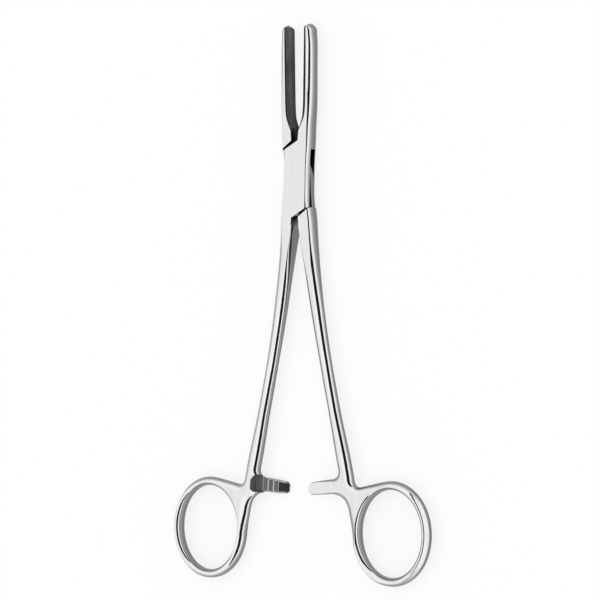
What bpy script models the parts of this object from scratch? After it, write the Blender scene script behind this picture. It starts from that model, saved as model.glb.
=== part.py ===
"""Tube clamp forceps with finger rings, all of polished steel.

Two forged halves cross in a box lock. One half carries the box, two walls with a slot between
them. The other half narrows to a tongue that passes through the slot. A pin joins them. The
forceps lie flat: X runs across the handles, Y along the forceps to the jaw tips and Z up, with
the pivot on the Z axis and the resting plane at zero.

Each half is drawn closed, as a flat outline whose edge is rounded down to the mid plane. The box
half has its jaw at +X and its shank at -X, and the tongue half is its mirror image.
"""

import math

import bmesh
import bpy
import numpy as np
from mathutils import Vector
from mathutils.geometry import delaunay_2d_cdt

MM = 0.001

# Sizes in millimetres. The lengths are taken from the pivot.
JAW_REACH = 50.5
JAW_DEPTH = 2.85
NOSE_LENGTH = 1.5
FACE_FOOT = 16.2
FACE_FOOT_GAP = 3.0
FACE_TIP_GAP = 0.4
BODY_THICKNESS = 5.6
BOX_WIDTH = 10.4
SHOULDER_REACH = 12.6
SHOULDER_DROP = 3.6
SLOT_THICKNESS = 2.4
SLOT_MARGIN = 0.6
RUNNING_GAP = 0.28
MEETING_GAP = 0.44
PIN_DIAMETER = 3.4
SHANK_ROOT_WIDTH = 5.1
SHANK_WAIST_WIDTH = 4.0
SHANK_FOOT_WIDTH = 4.8
SHANK_WAIST_THICKNESS = 4.2
RING_REACH = 119.2
RING_HOLE_WIDTH = 23.4
RING_HOLE_HEIGHT = 27.7
RING_WIRE_WIDTH = 2.85
RING_THICKNESS = 4.8
RATCHET_REACH = 100.3
RATCHET_HEIGHT = 4.3
RATCHET_THINNED = 13.2
RATCHET_OVERLAP = 2.2
TOOTH_PITCH = 2.1
TOOTH_DEPTH = 0.55
TOOTH_START = 3.6

# Angles in degrees. The rest opening is half the angle between the halves as they lie.
REST_OPENING = 4.0
RING_SPREAD = 13.45
RING_TURN = 3.0
SHANK_FLARE = 8.1

TOOTH_COUNT = 3
EDGE_STEPS = 3
CURVE_ERROR = 0.02
LONGEST_SIDE = 4.0
CORNER = 0.5

# Sizes that follow from the ones above.
BODY_HALF = BODY_THICKNESS / 2
RING_HALF = RING_THICKNESS / 2
WIRE_HALF = RING_WIRE_WIDTH / 2
LIFT = max(BODY_HALF, RING_HALF)
MEET = MEETING_GAP / 2
TONGUE_HALF = SLOT_THICKNESS / 2 - RUNNING_GAP
RING_CENTRE = (
    -RING_REACH * math.sin(math.radians(RING_SPREAD)),
    -RING_REACH * math.cos(math.radians(RING_SPREAD)),
)
RING_RADII = (RING_HOLE_WIDTH / 2 + WIRE_HALF, RING_HOLE_HEIGHT / 2 + WIRE_HALF)
RATCHET_BOTTOM = -RATCHET_REACH - RATCHET_HEIGHT / 2
RATCHET_TOP = -RATCHET_REACH + RATCHET_HEIGHT / 2


def smooth(x, low, high):
    """0 below low and 1 above high, with a soft change between them."""
    t = min(max((x - low) / (high - low), 0.0), 1.0)
    return t * t * (3 - 2 * t)


def table(x, rows):
    """A value read from rows of (place, value), softly joined. The places run upwards."""
    if x <= rows[0][0]:
        return rows[0][1]
    for (x0, v0), (x1, v1) in zip(rows, rows[1:]):
        if x <= x1:
            return v0 + (v1 - v0) * smooth(x, x0, x1)
    return rows[-1][1]


def line(x, rows):
    return float(np.interp(x, [r[0] for r in rows], [r[1] for r in rows]))


# The shank runs from the shoulder to the inner side of the ring, bending outwards on the way.
SHANK_TOP = SHOULDER_REACH + 1.4
ring_turn = math.radians(RING_TURN)
SHANK_END = (
    RING_CENTRE[0] + RING_RADII[0] * math.cos(ring_turn),
    RING_CENTRE[1] + RING_RADII[0] * math.sin(ring_turn),
)
SHANK_START = -(MEET + SHANK_ROOT_WIDTH / 2 + 0.05)
SHANK_RUN = -SHANK_TOP - SHANK_END[1]


def shank_share(y):
    return min(max((-SHANK_TOP - y) / SHANK_RUN, 0.0), 1.0)


def shank_centre(y):
    t = shank_share(y)
    side = SHANK_END[0] - SHANK_START
    end_slope = -math.tan(math.radians(SHANK_FLARE)) * SHANK_RUN / side
    bend = 3 * t**2 - 2 * t**3 + (t**3 - t**2) * end_slope
    return SHANK_START + side * bend


def shank_half_width(y):
    rows = (
        (0.0, SHANK_ROOT_WIDTH / 2),
        (0.09, SHANK_ROOT_WIDTH / 2 * 0.97),
        (0.52, SHANK_WAIST_WIDTH / 2),
        (0.6, SHANK_WAIST_WIDTH / 2),
        (0.78, SHANK_FOOT_WIDTH / 2),
        (0.92, WIRE_HALF),
    )
    return table(shank_share(y), rows)


def half_thickness(y):
    """Half the thickness of a half at this place along it."""
    rows = (
        (-RATCHET_REACH, RING_HALF),
        (-0.6 * RATCHET_REACH, SHANK_WAIST_THICKNESS / 2),
        (-2.2 * SHOULDER_REACH, 0.35 * SHANK_WAIST_THICKNESS / 2 + 0.65 * BODY_HALF),
        (-SHOULDER_REACH, BODY_HALF),
    )
    end = min(max(y - JAW_REACH + NOSE_LENGTH, 0.0) / NOSE_LENGTH, 1.0)
    return line(y, rows) * (1 - 0.85 * end**1.6)


# The outline of the lower part is where this field is zero: ring, shank and ratchet bar melted
# together, with a radius in each inner corner.
def melt(a, b, radius):
    h = max(radius - abs(a - b), 0.0) / radius
    return min(a, b) - h * h * radius / 4


def ring_field(x, y):
    dx, dy = x - RING_CENTRE[0], y - RING_CENTRE[1]
    c, s = math.cos(ring_turn), math.sin(ring_turn)
    u, v = dx * c + dy * s, -dx * s + dy * c
    ax, ay = RING_RADII[0] + WIRE_HALF, RING_RADII[1] + WIRE_HALF
    k0 = math.hypot(u / ax, v / ay)
    k1 = math.hypot(u / ax**2, v / ay**2)
    return k0 * (k0 - 1) / max(k1, 1e-9)


def shank_field(x, y):
    slope = (shank_centre(y + 0.5) - shank_centre(y - 0.5)) / math.hypot(
        1.0, shank_centre(y + 0.5) - shank_centre(y - 0.5)
    )
    side = abs(x - shank_centre(y)) * math.sqrt(1 - slope**2) - shank_half_width(y)
    return max(side, SHANK_END[1] - y)


def bar_field(x, y):
    root = shank_centre(-RATCHET_REACH)
    x0, x1 = root, RATCHET_OVERLAP
    rise = 0.085 * min(max(x1 - x, 0.0), x1 - root)
    corner = 0.18 * RATCHET_HEIGHT
    y0, y1 = RATCHET_BOTTOM, RATCHET_TOP + rise
    qx = abs(x - (x0 + x1) / 2) - (x1 - x0) / 2 + corner
    qy = abs(y - (y0 + y1) / 2) - (y1 - y0) / 2 + corner
    return math.hypot(max(qx, 0.0), max(qy, 0.0)) + min(max(qx, qy), 0.0) - corner


def web_field(x, y):
    """The flat corner between the top of the ring and the shank."""
    high = RING_CENTRE[1] + RING_RADII[1] + WIRE_HALF
    x0, y0 = RING_CENTRE[0] + 0.15 * RING_RADII[0], high - 0.1 * WIRE_HALF
    x1, y1 = shank_centre(high), high - 0.72 * RING_WIRE_WIDTH
    size = math.hypot(x1 - x0, y1 - y0)
    above = ((x1 - x0) * (y - y0) - (y1 - y0) * (x - x0)) / size
    return max(above, x0 - x, x - shank_centre(y), RING_CENTRE[1] - y)


def field(x, y):
    outer = smooth(shank_centre(y) - x, -0.2 * WIRE_HALF, 0.2 * WIRE_HALF)
    ring = min(ring_field(x, y), web_field(x, y))
    body = melt(ring, shank_field(x, y), RING_WIRE_WIDTH * (0.2 + 0.9 * outer))
    below = smooth(-y, RATCHET_REACH - 1.0, RATCHET_REACH + 2.0)
    return melt(body, bar_field(x, y), RATCHET_HEIGHT * (0.7 + 0.6 * below))


def follow_field(start, end_y, step):
    """Points along the zero line of the field, from start downwards and round to end_y again."""
    points = []
    x, y = start
    heading = (0.0, -1.0)
    for _ in range(2000):
        for _ in range(4):
            value = field(x, y)
            gx = (field(x + 1e-3, y) - field(x - 1e-3, y)) / 2e-3
            gy = (field(x, y + 1e-3) - field(x, y - 1e-3)) / 2e-3
            size = gx * gx + gy * gy
            x, y = x - value * gx / size, y - value * gy / size
        points.append((x, y))
        if len(points) > 20 and y > end_y and x > shank_centre(end_y):
            return points
        size = math.hypot(gx, gy)
        heading = (-gy / size, gx / size)
        x, y = x + heading[0] * step, y + heading[1] * step
    raise ValueError("the outline of the ring didn't close")


def thinned(points, error):
    """The same line with the points left out that lie within error of it."""
    fine = [points[0]]
    for (x0, y0), (x1, y1) in zip(points, points[1:]):
        count = max(1, math.ceil(math.hypot(x1 - x0, y1 - y0) / (0.4 * LONGEST_SIDE)))
        fine += [(x0 + (x1 - x0) * k / count, y0 + (y1 - y0) * k / count) for k in range(1, count + 1)]
    points = np.asarray(fine, float)
    keep = np.zeros(len(points), bool)
    keep[0] = keep[-1] = True
    stack = [(0, len(points) - 1)]
    while stack:
        i, j = stack.pop()
        if j <= i + 1:
            continue
        along = points[j] - points[i]
        size = max(np.hypot(*along), 1e-9)
        off = points[i + 1 : j] - points[i]
        distance = np.abs(along[0] * off[:, 1] - along[1] * off[:, 0]) / size
        worst = int(distance.argmax()) + i + 1
        if distance.max() <= error:
            worst = (i + j) // 2
        if distance.max() > error or np.hypot(*along) > LONGEST_SIDE:
            keep[worst] = True
            stack += [(i, worst), (worst, j)]
    return [tuple(p) for p in points[keep]]


def curve_through(stations, step):
    """A soft line through (x, y) stations, by cubic pieces with shared slopes."""
    p = np.asarray(stations, float)
    slope = np.zeros_like(p)
    slope[1:-1] = (p[2:] - p[:-2]) / 2
    slope[0], slope[-1] = p[1] - p[0], p[-1] - p[-2]
    out = []
    for i in range(len(p) - 1):
        count = max(2, int(math.hypot(*(p[i + 1] - p[i])) / step))
        for k in range(count):
            t = k / count
            a, b = 2 * t**3 - 3 * t**2 + 1, t**3 - 2 * t**2 + t
            c, d = -2 * t**3 + 3 * t**2, t**3 - t**2
            out.append(tuple(a * p[i] + b * slope[i] + c * p[i + 1] + d * slope[i + 1]))
    return out + [tuple(p[-1])]


# Edge kinds: how far in the rounding reaches and how steep it starts under the flat.
def outer_edge(y):
    waist = smooth(-y, SHOULDER_REACH, 2.6 * SHOULDER_REACH)
    jaw = smooth(y, 0.9 * SHOULDER_REACH, 1.7 * SHOULDER_REACH)
    low = smooth(-y, 0.75 * RATCHET_REACH, 0.95 * RATCHET_REACH)
    reach = BODY_HALF * 0.46
    reach += waist * (SHANK_WAIST_WIDTH * 0.45 - reach)
    reach += jaw * (JAW_DEPTH * 0.8 - reach)
    reach += low * (WIRE_HALF * 0.9 - reach)
    return reach, math.radians(38 - 26 * max(waist, jaw))


def inner_edge(y):
    round_share = smooth(-y, 1.2 * SHOULDER_REACH, 3.0 * SHOULDER_REACH)
    low = smooth(-y, 0.75 * RATCHET_REACH, 0.95 * RATCHET_REACH)
    reach = 0.25 + round_share * (SHANK_WAIST_WIDTH * 0.45 - 0.25)
    reach += low * (WIRE_HALF * 0.9 - reach)
    return reach, math.radians(12 * round_share)


def face_edge(y):
    return 0.22 + 0.2 * smooth(y, FACE_FOOT, FACE_FOOT + 5.0), 0.0


def tip_edge(y):
    top = smooth(y, JAW_REACH - JAW_DEPTH * 0.5, JAW_REACH)
    return JAW_DEPTH * (0.8 - 0.6 * top), math.radians(12 - 7 * top)


def corner_edge(y):
    return JAW_DEPTH * 0.12, math.radians(5)


def bar_edge(y):
    return 0.45, math.radians(15)


def lower_line():
    """The outline from the outer side of the shank round the ring and the bar to its inner side."""
    join = -0.6 * RATCHET_REACH
    start = (shank_centre(join) - shank_half_width(join), join)
    points = follow_field(start, join, 0.35)
    points = thinned(points, CURVE_ERROR)
    edges = []
    for (x0, y0), (x1, y1) in zip(points, points[1:]):
        x, y = (x0 + x1) / 2, (y0 + y1) / 2
        inner = x > shank_centre(y)
        reach, start_angle = inner_edge(y) if inner else outer_edge(y)
        on_bar = smooth(x - shank_centre(y), SHANK_FOOT_WIDTH / 2 + 0.4, SHANK_FOOT_WIDTH / 2 + 2.6)
        if y < RATCHET_BOTTOM - 4:
            on_bar = 0.0
        bar_reach, bar_angle = bar_edge(y)
        edges.append((reach + on_bar * (bar_reach - reach), start_angle + on_bar * (bar_angle - start_angle)))
    return points, edges


def outline(tongue):
    """The closed outline of one half, counter-clockwise, with an edge kind for each side.

    Both halves are drawn with the jaw at +X. The tongue half is mirrored afterwards, so its
    tongue is drawn here leaning the other way.
    """
    jaw_at = lambda share: FACE_FOOT + 9.0 + share * (JAW_REACH - FACE_FOOT - 9.0)
    gap_at = lambda share: (FACE_FOOT_GAP + share * (FACE_TIP_GAP - FACE_FOOT_GAP)) / 2
    half = BOX_WIDTH / 2
    drop_y = SHOULDER_REACH - SHOULDER_DROP
    points, edges = [], []

    def run(line_points, kind):
        thin = thinned(line_points, CURVE_ERROR)
        if points and math.hypot(thin[0][0] - points[-1][0], thin[0][1] - points[-1][1]) < 1e-6:
            thin = thin[1:]
            edges.append(kind((points[-1][1] + thin[0][1]) / 2))
        elif points:
            edges.append(kind((points[-1][1] + thin[0][1]) / 2))
        for a, b in zip(thin, thin[1:]):
            edges.append(kind((a[1] + b[1]) / 2))
        points.extend(thin)

    # The tip is a round nose, from the outer side over to the clamping face.
    tip_gap = gap_at(1.0)
    rx, ry = JAW_DEPTH * 0.64, JAW_DEPTH * 1.15
    turn_in = JAW_DEPTH * 0.26
    nose, corner = [], []
    for k in range(10):
        t = math.radians(90 * k / 9)
        nose.append((tip_gap + turn_in + rx * math.cos(t), JAW_REACH - ry + ry * math.sin(t)))
    for k in range(7):
        t = math.radians(90 + 90 * k / 6)
        corner.append((tip_gap + turn_in * (1 + math.cos(t)), JAW_REACH - turn_in + turn_in * math.sin(t)))
    run(nose, tip_edge)
    run(corner, corner_edge)
    # The clamping face and the curve at its foot, then the meeting face above the shoulder.
    top, bottom = corner[-1], (gap_at(0.0), jaw_at(0.0))
    rounded = (top[1] - JAW_REACH + NOSE_LENGTH) / (top[1] - bottom[1])
    stops = [0.0, rounded / 3, rounded * 2 / 3, rounded, 1.0]
    face_line = [(top[0] + (bottom[0] - top[0]) * s, top[1] + (bottom[1] - top[1]) * s) for s in stops]
    for pair in zip(face_line, face_line[1:]):
        run(list(pair), face_edge)
    foot = curve_through(
        (
            (gap_at(0.0), jaw_at(0.0)),
            (gap_at(0.0) + 0.06, FACE_FOOT + 5.5),
            (gap_at(0.0) - 0.1, FACE_FOOT + 3.6),
            (gap_at(0.0) - 0.7, FACE_FOOT + 1.3),
            (MEET, FACE_FOOT - 0.4),
        ),
        0.6,
    )
    run(foot, face_edge)
    if tongue:
        # The lower side of the neck, hidden in the box, and the side that the slot leaves free.
        run([(MEET, FACE_FOOT - 0.4), (MEET, SHOULDER_REACH - RUNNING_GAP)], face_edge)
        run([(MEET, SHOULDER_REACH - RUNNING_GAP), (-half * 0.76, drop_y - RUNNING_GAP * 0.5)], face_edge)
        side = curve_through(
            (
                (-half * 0.76, drop_y - RUNNING_GAP * 0.5),
                (-half * 0.84, drop_y * 0.66),
                (-half * 0.98, drop_y * 0.08),
                (-half * 0.97, -drop_y * 0.45),
                (-half * 0.97, -drop_y * 0.95),
                (SHANK_START - SHANK_ROOT_WIDTH / 2, -SHANK_TOP),
            ),
            1.0,
        )
        run(side, outer_edge)
    else:
        run([(MEET, FACE_FOOT - 0.4), (MEET, SHOULDER_REACH)], face_edge)
        run([(MEET, SHOULDER_REACH), (-half * 1.07, drop_y)], face_edge)
        side = curve_through(
            (
                (-half * 1.07, drop_y),
                (-half * 1.02, drop_y * 0.45),
                (-half * 0.99, 0.0),
                (-half * 0.98, -drop_y * 0.5),
                (-half * 1.0, -drop_y),
                (SHANK_START - SHANK_ROOT_WIDTH / 2, -SHANK_TOP),
            ),
            1.0,
        )
        run(side, outer_edge)
    # The outer side of the shank, the ring with the bar, and the inner side of the shank.
    low_points, low_edges = lower_line()
    ys = np.linspace(-SHANK_TOP, low_points[0][1], 24)
    run([(shank_centre(y) - shank_half_width(y), y) for y in ys[:-1]] + [low_points[0]], outer_edge)
    points.extend(low_points[1:])
    edges.extend(low_edges)
    ys = np.linspace(low_points[-1][1], -SHANK_TOP, 24)
    inner = [low_points[-1]] + [(shank_centre(y) + shank_half_width(y), y) for y in ys[1:]]
    run(inner, inner_edge)
    # The shoulder below the box and its right side, up to the jaw.
    if tongue:
        run([inner[-1], (-MEET, -SHOULDER_REACH + RUNNING_GAP)], face_edge)
        run([(-MEET, -SHOULDER_REACH + RUNNING_GAP), (half * 0.76, -drop_y + RUNNING_GAP * 0.5)], face_edge)
        side = curve_through(
            (
                (half * 0.76, -drop_y + RUNNING_GAP * 0.5),
                (half * 0.84, -drop_y * 0.66),
                (half * 0.98, -drop_y * 0.08),
                (half * 0.97, drop_y * 0.45),
                (half * 0.955, drop_y * 0.95),
                (half * 0.95, SHOULDER_REACH),
            ),
            1.0,
        )
    else:
        run([inner[-1], (-MEET, -SHOULDER_REACH)], face_edge)
        run([(-MEET, -SHOULDER_REACH), (half * 1.07, -drop_y)], face_edge)
        side = curve_through(
            (
                (half * 1.07, -drop_y),
                (half * 1.02, -drop_y * 0.45),
                (half * 0.98, 0.0),
                (half * 0.94, drop_y * 0.5),
                (half * 0.935, drop_y),
                (half * 0.95, SHOULDER_REACH),
            ),
            1.0,
        )
    run(side, outer_edge)
    outer = curve_through(
        (
            (half * 0.95, SHOULDER_REACH),
            (half * 0.89, FACE_FOOT + 1.3),
            (gap_at(0.0) + JAW_DEPTH * 1.04, jaw_at(0.0)),
            (gap_at(0.45) + JAW_DEPTH * 1.0, jaw_at(0.45)),
            (gap_at(0.75) + JAW_DEPTH * 0.95, jaw_at(0.75)),
            nose[0],
        ),
        1.5,
    )
    run(outer, outer_edge)
    # The last point is the first one again.
    return points[:-1], edges


def hole():
    """The ring's opening, clockwise, so that the steel lies on the left of it too."""
    ax, ay = RING_RADII[0] - WIRE_HALF, RING_RADII[1] - WIRE_HALF
    c, s = math.cos(ring_turn), math.sin(ring_turn)
    points = []
    for k in range(56):
        t = -2 * math.pi * k / 56
        u, v = ax * math.cos(t), ay * math.sin(t)
        points.append((RING_CENTRE[0] + u * c - v * s, RING_CENTRE[1] + u * s + v * c))
    return points, [(WIRE_HALF * 0.88, math.radians(12))] * 56


def sides_of(points):
    """The middle, the inward normal and the turn from the side before, for each side."""
    p = np.asarray(points, float)
    nxt = np.roll(p, -1, axis=0)
    along = nxt - p
    along /= np.hypot(along[:, 0], along[:, 1])[:, None]
    before = np.roll(along, 1, axis=0)
    turn = along[:, 0] * before[:, 1] - along[:, 1] * before[:, 0]
    return (p + nxt) / 2, np.stack([-along[:, 1], along[:, 0]], axis=1), np.abs(turn)


def limited(points, edges, others, other_edges):
    """The reach of each side's rounding, so that the roundings of two sides facing never meet."""
    mid, normal, turn = sides_of(points)
    q = np.concatenate([mid, sides_of(others)[0]])
    reach = np.array([e[0] for e in edges])
    corner = turn > CORNER
    for _ in range(12):
        before = np.where(corner, reach, np.roll(reach, 1))
        after = np.where(np.roll(corner, -1), reach, np.roll(reach, -1))
        reach = (before + 2 * reach + after) / 4
    wish = reach.copy()
    facing = np.concatenate([wish, [e[0] for e in other_edges]])
    for i in range(len(mid)):
        off = q - mid[i]
        ahead = off @ normal[i]
        far = (off**2).sum(axis=1)
        ok = ahead > 0.04 * np.sqrt(far)
        if ok.any():
            fit = far[ok] / ahead[ok] * wish[i] / (wish[i] + facing[ok])
            reach[i] = min(reach[i], 0.86 * fit.min())
    for _ in range(4):
        before = np.where(corner, reach, np.roll(reach, 1))
        after = np.where(np.roll(corner, -1), reach, np.roll(reach, -1))
        reach = np.minimum(reach, np.minimum(before, after) * 1.3)
    return reach


def inset(points, distances):
    """Each point moved inwards to where its two edges meet after their own moves."""
    p = np.asarray(points, float)
    nxt = np.roll(p, -1, axis=0)
    along = nxt - p
    along /= np.hypot(along[:, 0], along[:, 1])[:, None]
    normal = np.stack([-along[:, 1], along[:, 0]], axis=1)
    d = np.asarray(distances, float)
    out = []
    for i in range(len(p)):
        n0, n1, d0, d1 = normal[i - 1], normal[i], d[i - 1], d[i]
        cross = n0[0] * n1[1] - n0[1] * n1[0]
        if abs(cross) > CORNER:
            move = np.array([d0 * n1[1] - d1 * n0[1], n0[0] * d1 - n1[0] * d0]) / cross
        else:
            both = n0 + n1
            both /= np.hypot(*both)
            move = both * (d0 + d1) / 2 / max(both @ n1, 0.5)
        out.append(p[i] + move)
    return np.array(out)


def loops_of(points, edges, others, other_edges, steps):
    """Rings of (x, y, share of the half thickness), from the outline in to the edge of the flat."""
    reach = limited(points, edges, others, other_edges)
    start = np.array([e[1] for e in edges])
    loops = []
    for k in range(steps + 1):
        angle = math.pi / 2 - (math.pi / 2 - start) * k / steps
        share = (1 - np.sin(angle)) / (1 - np.sin(start))
        rise = np.cos(angle) / np.cos(start)
        flat = inset(points, reach * share) if k else np.asarray(points, float)
        rise = (rise + np.roll(rise, 1)) / 2
        loops.append(np.column_stack([flat, rise if k else np.zeros(len(rise))]))
    return loops


def encloses(line_points, point):
    x, y = point
    inside = False
    for (x0, y0), (x1, y1) in zip(line_points, np.roll(line_points, -1, axis=0)):
        if (y0 > y) != (y1 > y) and x < x0 + (x1 - x0) * (y - y0) / (y1 - y0):
            inside = not inside
    return inside


def blank(name, tongue, steps=EDGE_STEPS):
    """One half before its cuts: flat above and below, with rounded edges."""
    points, edges = outline(tongue)
    hole_points, hole_edges = hole()
    outer = loops_of(points, edges, hole_points, hole_edges, steps)
    inner = loops_of(hole_points, hole_edges, points, edges, steps)
    sign = -1.0 if tongue else 1.0
    turn = math.radians(REST_OPENING) * (1.0 if tongue else -1.0)
    c, s = math.cos(turn), math.sin(turn)
    mesh = bmesh.new()

    def vert(x, y, z):
        x *= sign
        return mesh.verts.new(((x * c - y * s) * MM, (x * s + y * c) * MM, (z + LIFT) * MM))

    rims = {1: [], -1: []}
    for loops in (outer, inner):
        count = len(loops[0])
        middle = [vert(x, y, 0.0) for x, y, _ in loops[0]]
        for side in (1, -1):
            before = middle
            for ring in loops[1:]:
                after = [vert(x, y, side * r * half_thickness(y)) for x, y, r in ring]
                for i in range(count):
                    j = (i + 1) % count
                    mesh.faces.new((before[i], before[j], after[j], after[i]))
                before = after
            rims[side].append((before, loops[-1]))
    for side in (1, -1):
        verts = [v for rim, _ in rims[side] for v in rim]
        flat = [Vector((p[0], p[1])) for _, ring in rims[side] for p in ring]
        links, base = [], 0
        for rim, _ in rims[side]:
            links += [(base + i, base + (i + 1) % len(rim)) for i in range(len(rim))]
            base += len(rim)
        made = delaunay_2d_cdt(flat, links, [], 1, 1e-7)
        if len(made[0]) != len(flat):
            raise ValueError(f"the flat of {name} crosses itself")
        order = [o[0] for o in made[3]]
        opening = rims[side][1][1][:, :2]
        for face in made[2]:
            if not encloses(opening, sum((made[0][i] for i in face), Vector((0, 0))) / len(face)):
                mesh.faces.new([verts[order[i]] for i in face])
    bmesh.ops.recalc_face_normals(mesh, faces=mesh.faces)
    return finished(name, mesh)


def finished(name, mesh):
    data = bpy.data.meshes.new(name)
    mesh.to_mesh(data)
    mesh.free()
    for polygon in data.polygons:
        polygon.use_smooth = True
    piece = bpy.data.objects.new(name, data)
    bpy.context.scene.collection.objects.link(piece)
    return piece


def prism(name, points, low, high, tongue, upright=False):
    """A cutter from a closed line. It is drawn in X and Y, or in X and Z for an upright one."""
    sign = -1.0 if tongue else 1.0
    turn = math.radians(REST_OPENING) * (1.0 if tongue else -1.0)
    c, s = math.cos(turn), math.sin(turn)
    mesh = bmesh.new()
    ends = []
    for level in (low, high):
        ring = []
        for a, b in points:
            x, y, z = (a * sign, level, b) if upright else (a * sign, b, level)
            ring.append(mesh.verts.new(((x * c - y * s) * MM, (x * s + y * c) * MM, (z + LIFT) * MM)))
        ends.append(ring)
    mesh.faces.new(ends[0])
    mesh.faces.new(ends[1])
    for i in range(len(points)):
        j = (i + 1) % len(points)
        mesh.faces.new((ends[0][i], ends[0][j], ends[1][j], ends[1][i]))
    bmesh.ops.recalc_face_normals(mesh, faces=mesh.faces)
    cutter = finished(name, mesh)
    cutter.hide_render = True
    cutter.display_type = "WIRE"
    return cutter


def round_prism(name, radius, low, high, count=48, chamfer=0.0):
    mesh = bmesh.new()
    levels = [(radius - chamfer, low), (radius, low + chamfer), (radius, high - chamfer), (radius - chamfer, high)]
    if not chamfer:
        levels = [(radius, low), (radius, high)]
    rings = []
    for r, z in levels:
        ring = []
        for k in range(count):
            t = 2 * math.pi * k / count
            ring.append(mesh.verts.new((r * math.cos(t) * MM, r * math.sin(t) * MM, (z + LIFT) * MM)))
        rings.append(ring)
    mesh.faces.new(rings[0])
    mesh.faces.new(rings[-1])
    for a, b in zip(rings, rings[1:]):
        for i in range(count):
            j = (i + 1) % count
            mesh.faces.new((a[i], a[j], b[j], b[i]))
    bmesh.ops.recalc_face_normals(mesh, faces=mesh.faces)
    return finished(name, mesh)


def cut(piece, cutter):
    modifier = piece.modifiers.new("cut by " + cutter.name, "BOOLEAN")
    modifier.operation = "DIFFERENCE"
    modifier.solver = "EXACT"
    modifier.object = cutter


def metal(name, colour, metallic, roughness):
    material = bpy.data.materials.new(name)
    material.use_nodes = True
    shader = material.node_tree.nodes["Principled BSDF"]
    shader.inputs["Base Color"].default_value = (*colour, 1.0)
    shader.inputs["Metallic"].default_value = metallic
    shader.inputs["Roughness"].default_value = roughness
    return material


def tooth_line(side):
    """A cutter's outline in X and Z: the toothed face of a bar, closed well beyond the bar."""
    face = side * MEET
    deep = side * (MEET + TOOTH_DEPTH)
    far = -side * (RING_HALF + 1.0)
    tip = RATCHET_OVERLAP + 1.0
    x = RATCHET_OVERLAP - TOOTH_START
    slope = TOOTH_DEPTH / TOOTH_PITCH * 1.3
    points = [(tip, face + side * slope * (tip - x)), (x, face)]
    for _ in range(TOOTH_COUNT):
        points.append((x - 0.12, deep))
        x -= TOOTH_PITCH
        points.append((x, face))
    points.append((x - 0.12, deep))
    return points + [(x - 0.6, deep), (x - 0.6, far), (tip, far)]


def ratchet_cuts(piece, tongue):
    """Takes away the layer of the bar that the other half's bar passes through, teeth included."""
    # The box half keeps the back layer and shows its teeth upwards. The tongue half keeps the front.
    teeth = tooth_line(1 if tongue else -1)
    name = "tongue" if tongue else "box"
    low, high = RATCHET_BOTTOM - 2.5, RATCHET_TOP + 3.5
    cut(piece, prism(f"{name}_teeth_cutter", teeth, low, high, tongue, True))
    (end, deep), (_, far) = teeth[-3], teeth[-2]
    start = RATCHET_OVERLAP - RATCHET_THINNED
    low, high = RATCHET_BOTTOM - 0.1, RATCHET_TOP + RATCHET_HEIGHT * 0.3
    recess = [(start + RATCHET_HEIGHT * 0.21, low), (end + 0.3, low), (end + 0.3, high)]
    recess += [(start + RATCHET_HEIGHT * 0.31, high), (start, high - RATCHET_HEIGHT * 0.42)]
    recess += [(start, low + RATCHET_HEIGHT * 0.21)]
    cut(piece, prism(f"{name}_recess_cutter", recess, min(deep, far), max(deep, far), tongue))


def main():
    for thing in list(bpy.data.objects):
        bpy.data.objects.remove(thing, do_unlink=True)
    steel = metal("polished_steel", (0.62, 0.62, 0.62), 1.0, 0.12)
    steel_tongue = metal("polished_steel_tongue_half", (0.6, 0.6, 0.61), 1.0, 0.12)
    pin_steel = metal("pin_steel", (0.66, 0.66, 0.66), 1.0, 0.2)

    box = blank("box_half", False)
    box.data.materials.append(steel)
    tongue = blank("tongue_half", True)
    tongue.data.materials.append(steel_tongue)

    # The slot through the box. Its ends slope as the shoulders do.
    reach, half = BOX_WIDTH, BOX_WIDTH / 2
    drop_y = SHOULDER_REACH - SHOULDER_DROP
    low_end = drop_y + SLOT_MARGIN
    inner_end = SHOULDER_REACH + SLOT_MARGIN * 0.5
    slope = (inner_end - low_end) / half
    slot = [
        (reach, low_end - slope * (reach - half)),
        (-reach, inner_end + slope * reach),
        (-reach, -low_end + slope * (reach - half)),
        (reach, -inner_end - slope * reach),
    ]
    cut(box, prism("slot_cutter", slot, -SLOT_THICKNESS / 2, SLOT_THICKNESS / 2, False))

    # The tongue: both cheeks taken off between the shoulders.
    shoulder = SHOULDER_DROP / (half * 1.07 + MEET)
    top = SHOULDER_REACH + RUNNING_GAP * math.hypot(1.0, shoulder) - shoulder * MEET
    left, right = top + shoulder * reach, top - shoulder * reach
    cheek = [(-reach, -right), (reach, -left), (reach, right), (-reach, left)]
    cut(tongue, prism("front_cheek_cutter", cheek, TONGUE_HALF, LIFT + 3.0, True))
    cut(tongue, prism("back_cheek_cutter", cheek, -LIFT - 3.0, -TONGUE_HALF, True))

    ratchet_cuts(box, False)
    ratchet_cuts(tongue, True)

    # The pin is ground flush with the box.
    bore = round_prism("pin_bore_cutter", PIN_DIAMETER / 2 + RUNNING_GAP, -LIFT - 3.0, LIFT + 3.0)
    bore.hide_render = True
    bore.display_type = "WIRE"
    cut(box, bore)
    cut(tongue, bore)
    pin = round_prism("pivot_pin", PIN_DIAMETER / 2, -BODY_HALF, BODY_HALF, chamfer=0.15)
    pin.data.materials.append(pin_steel)


main()
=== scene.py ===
"""Looks of the tube clamp forceps: two forged halves of polished steel, crossed on a pin."""

import math

import bmesh
import bpy
import numpy as np
from mathutils import Matrix, Vector
from mathutils.geometry import delaunay_2d_cdt


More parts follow.
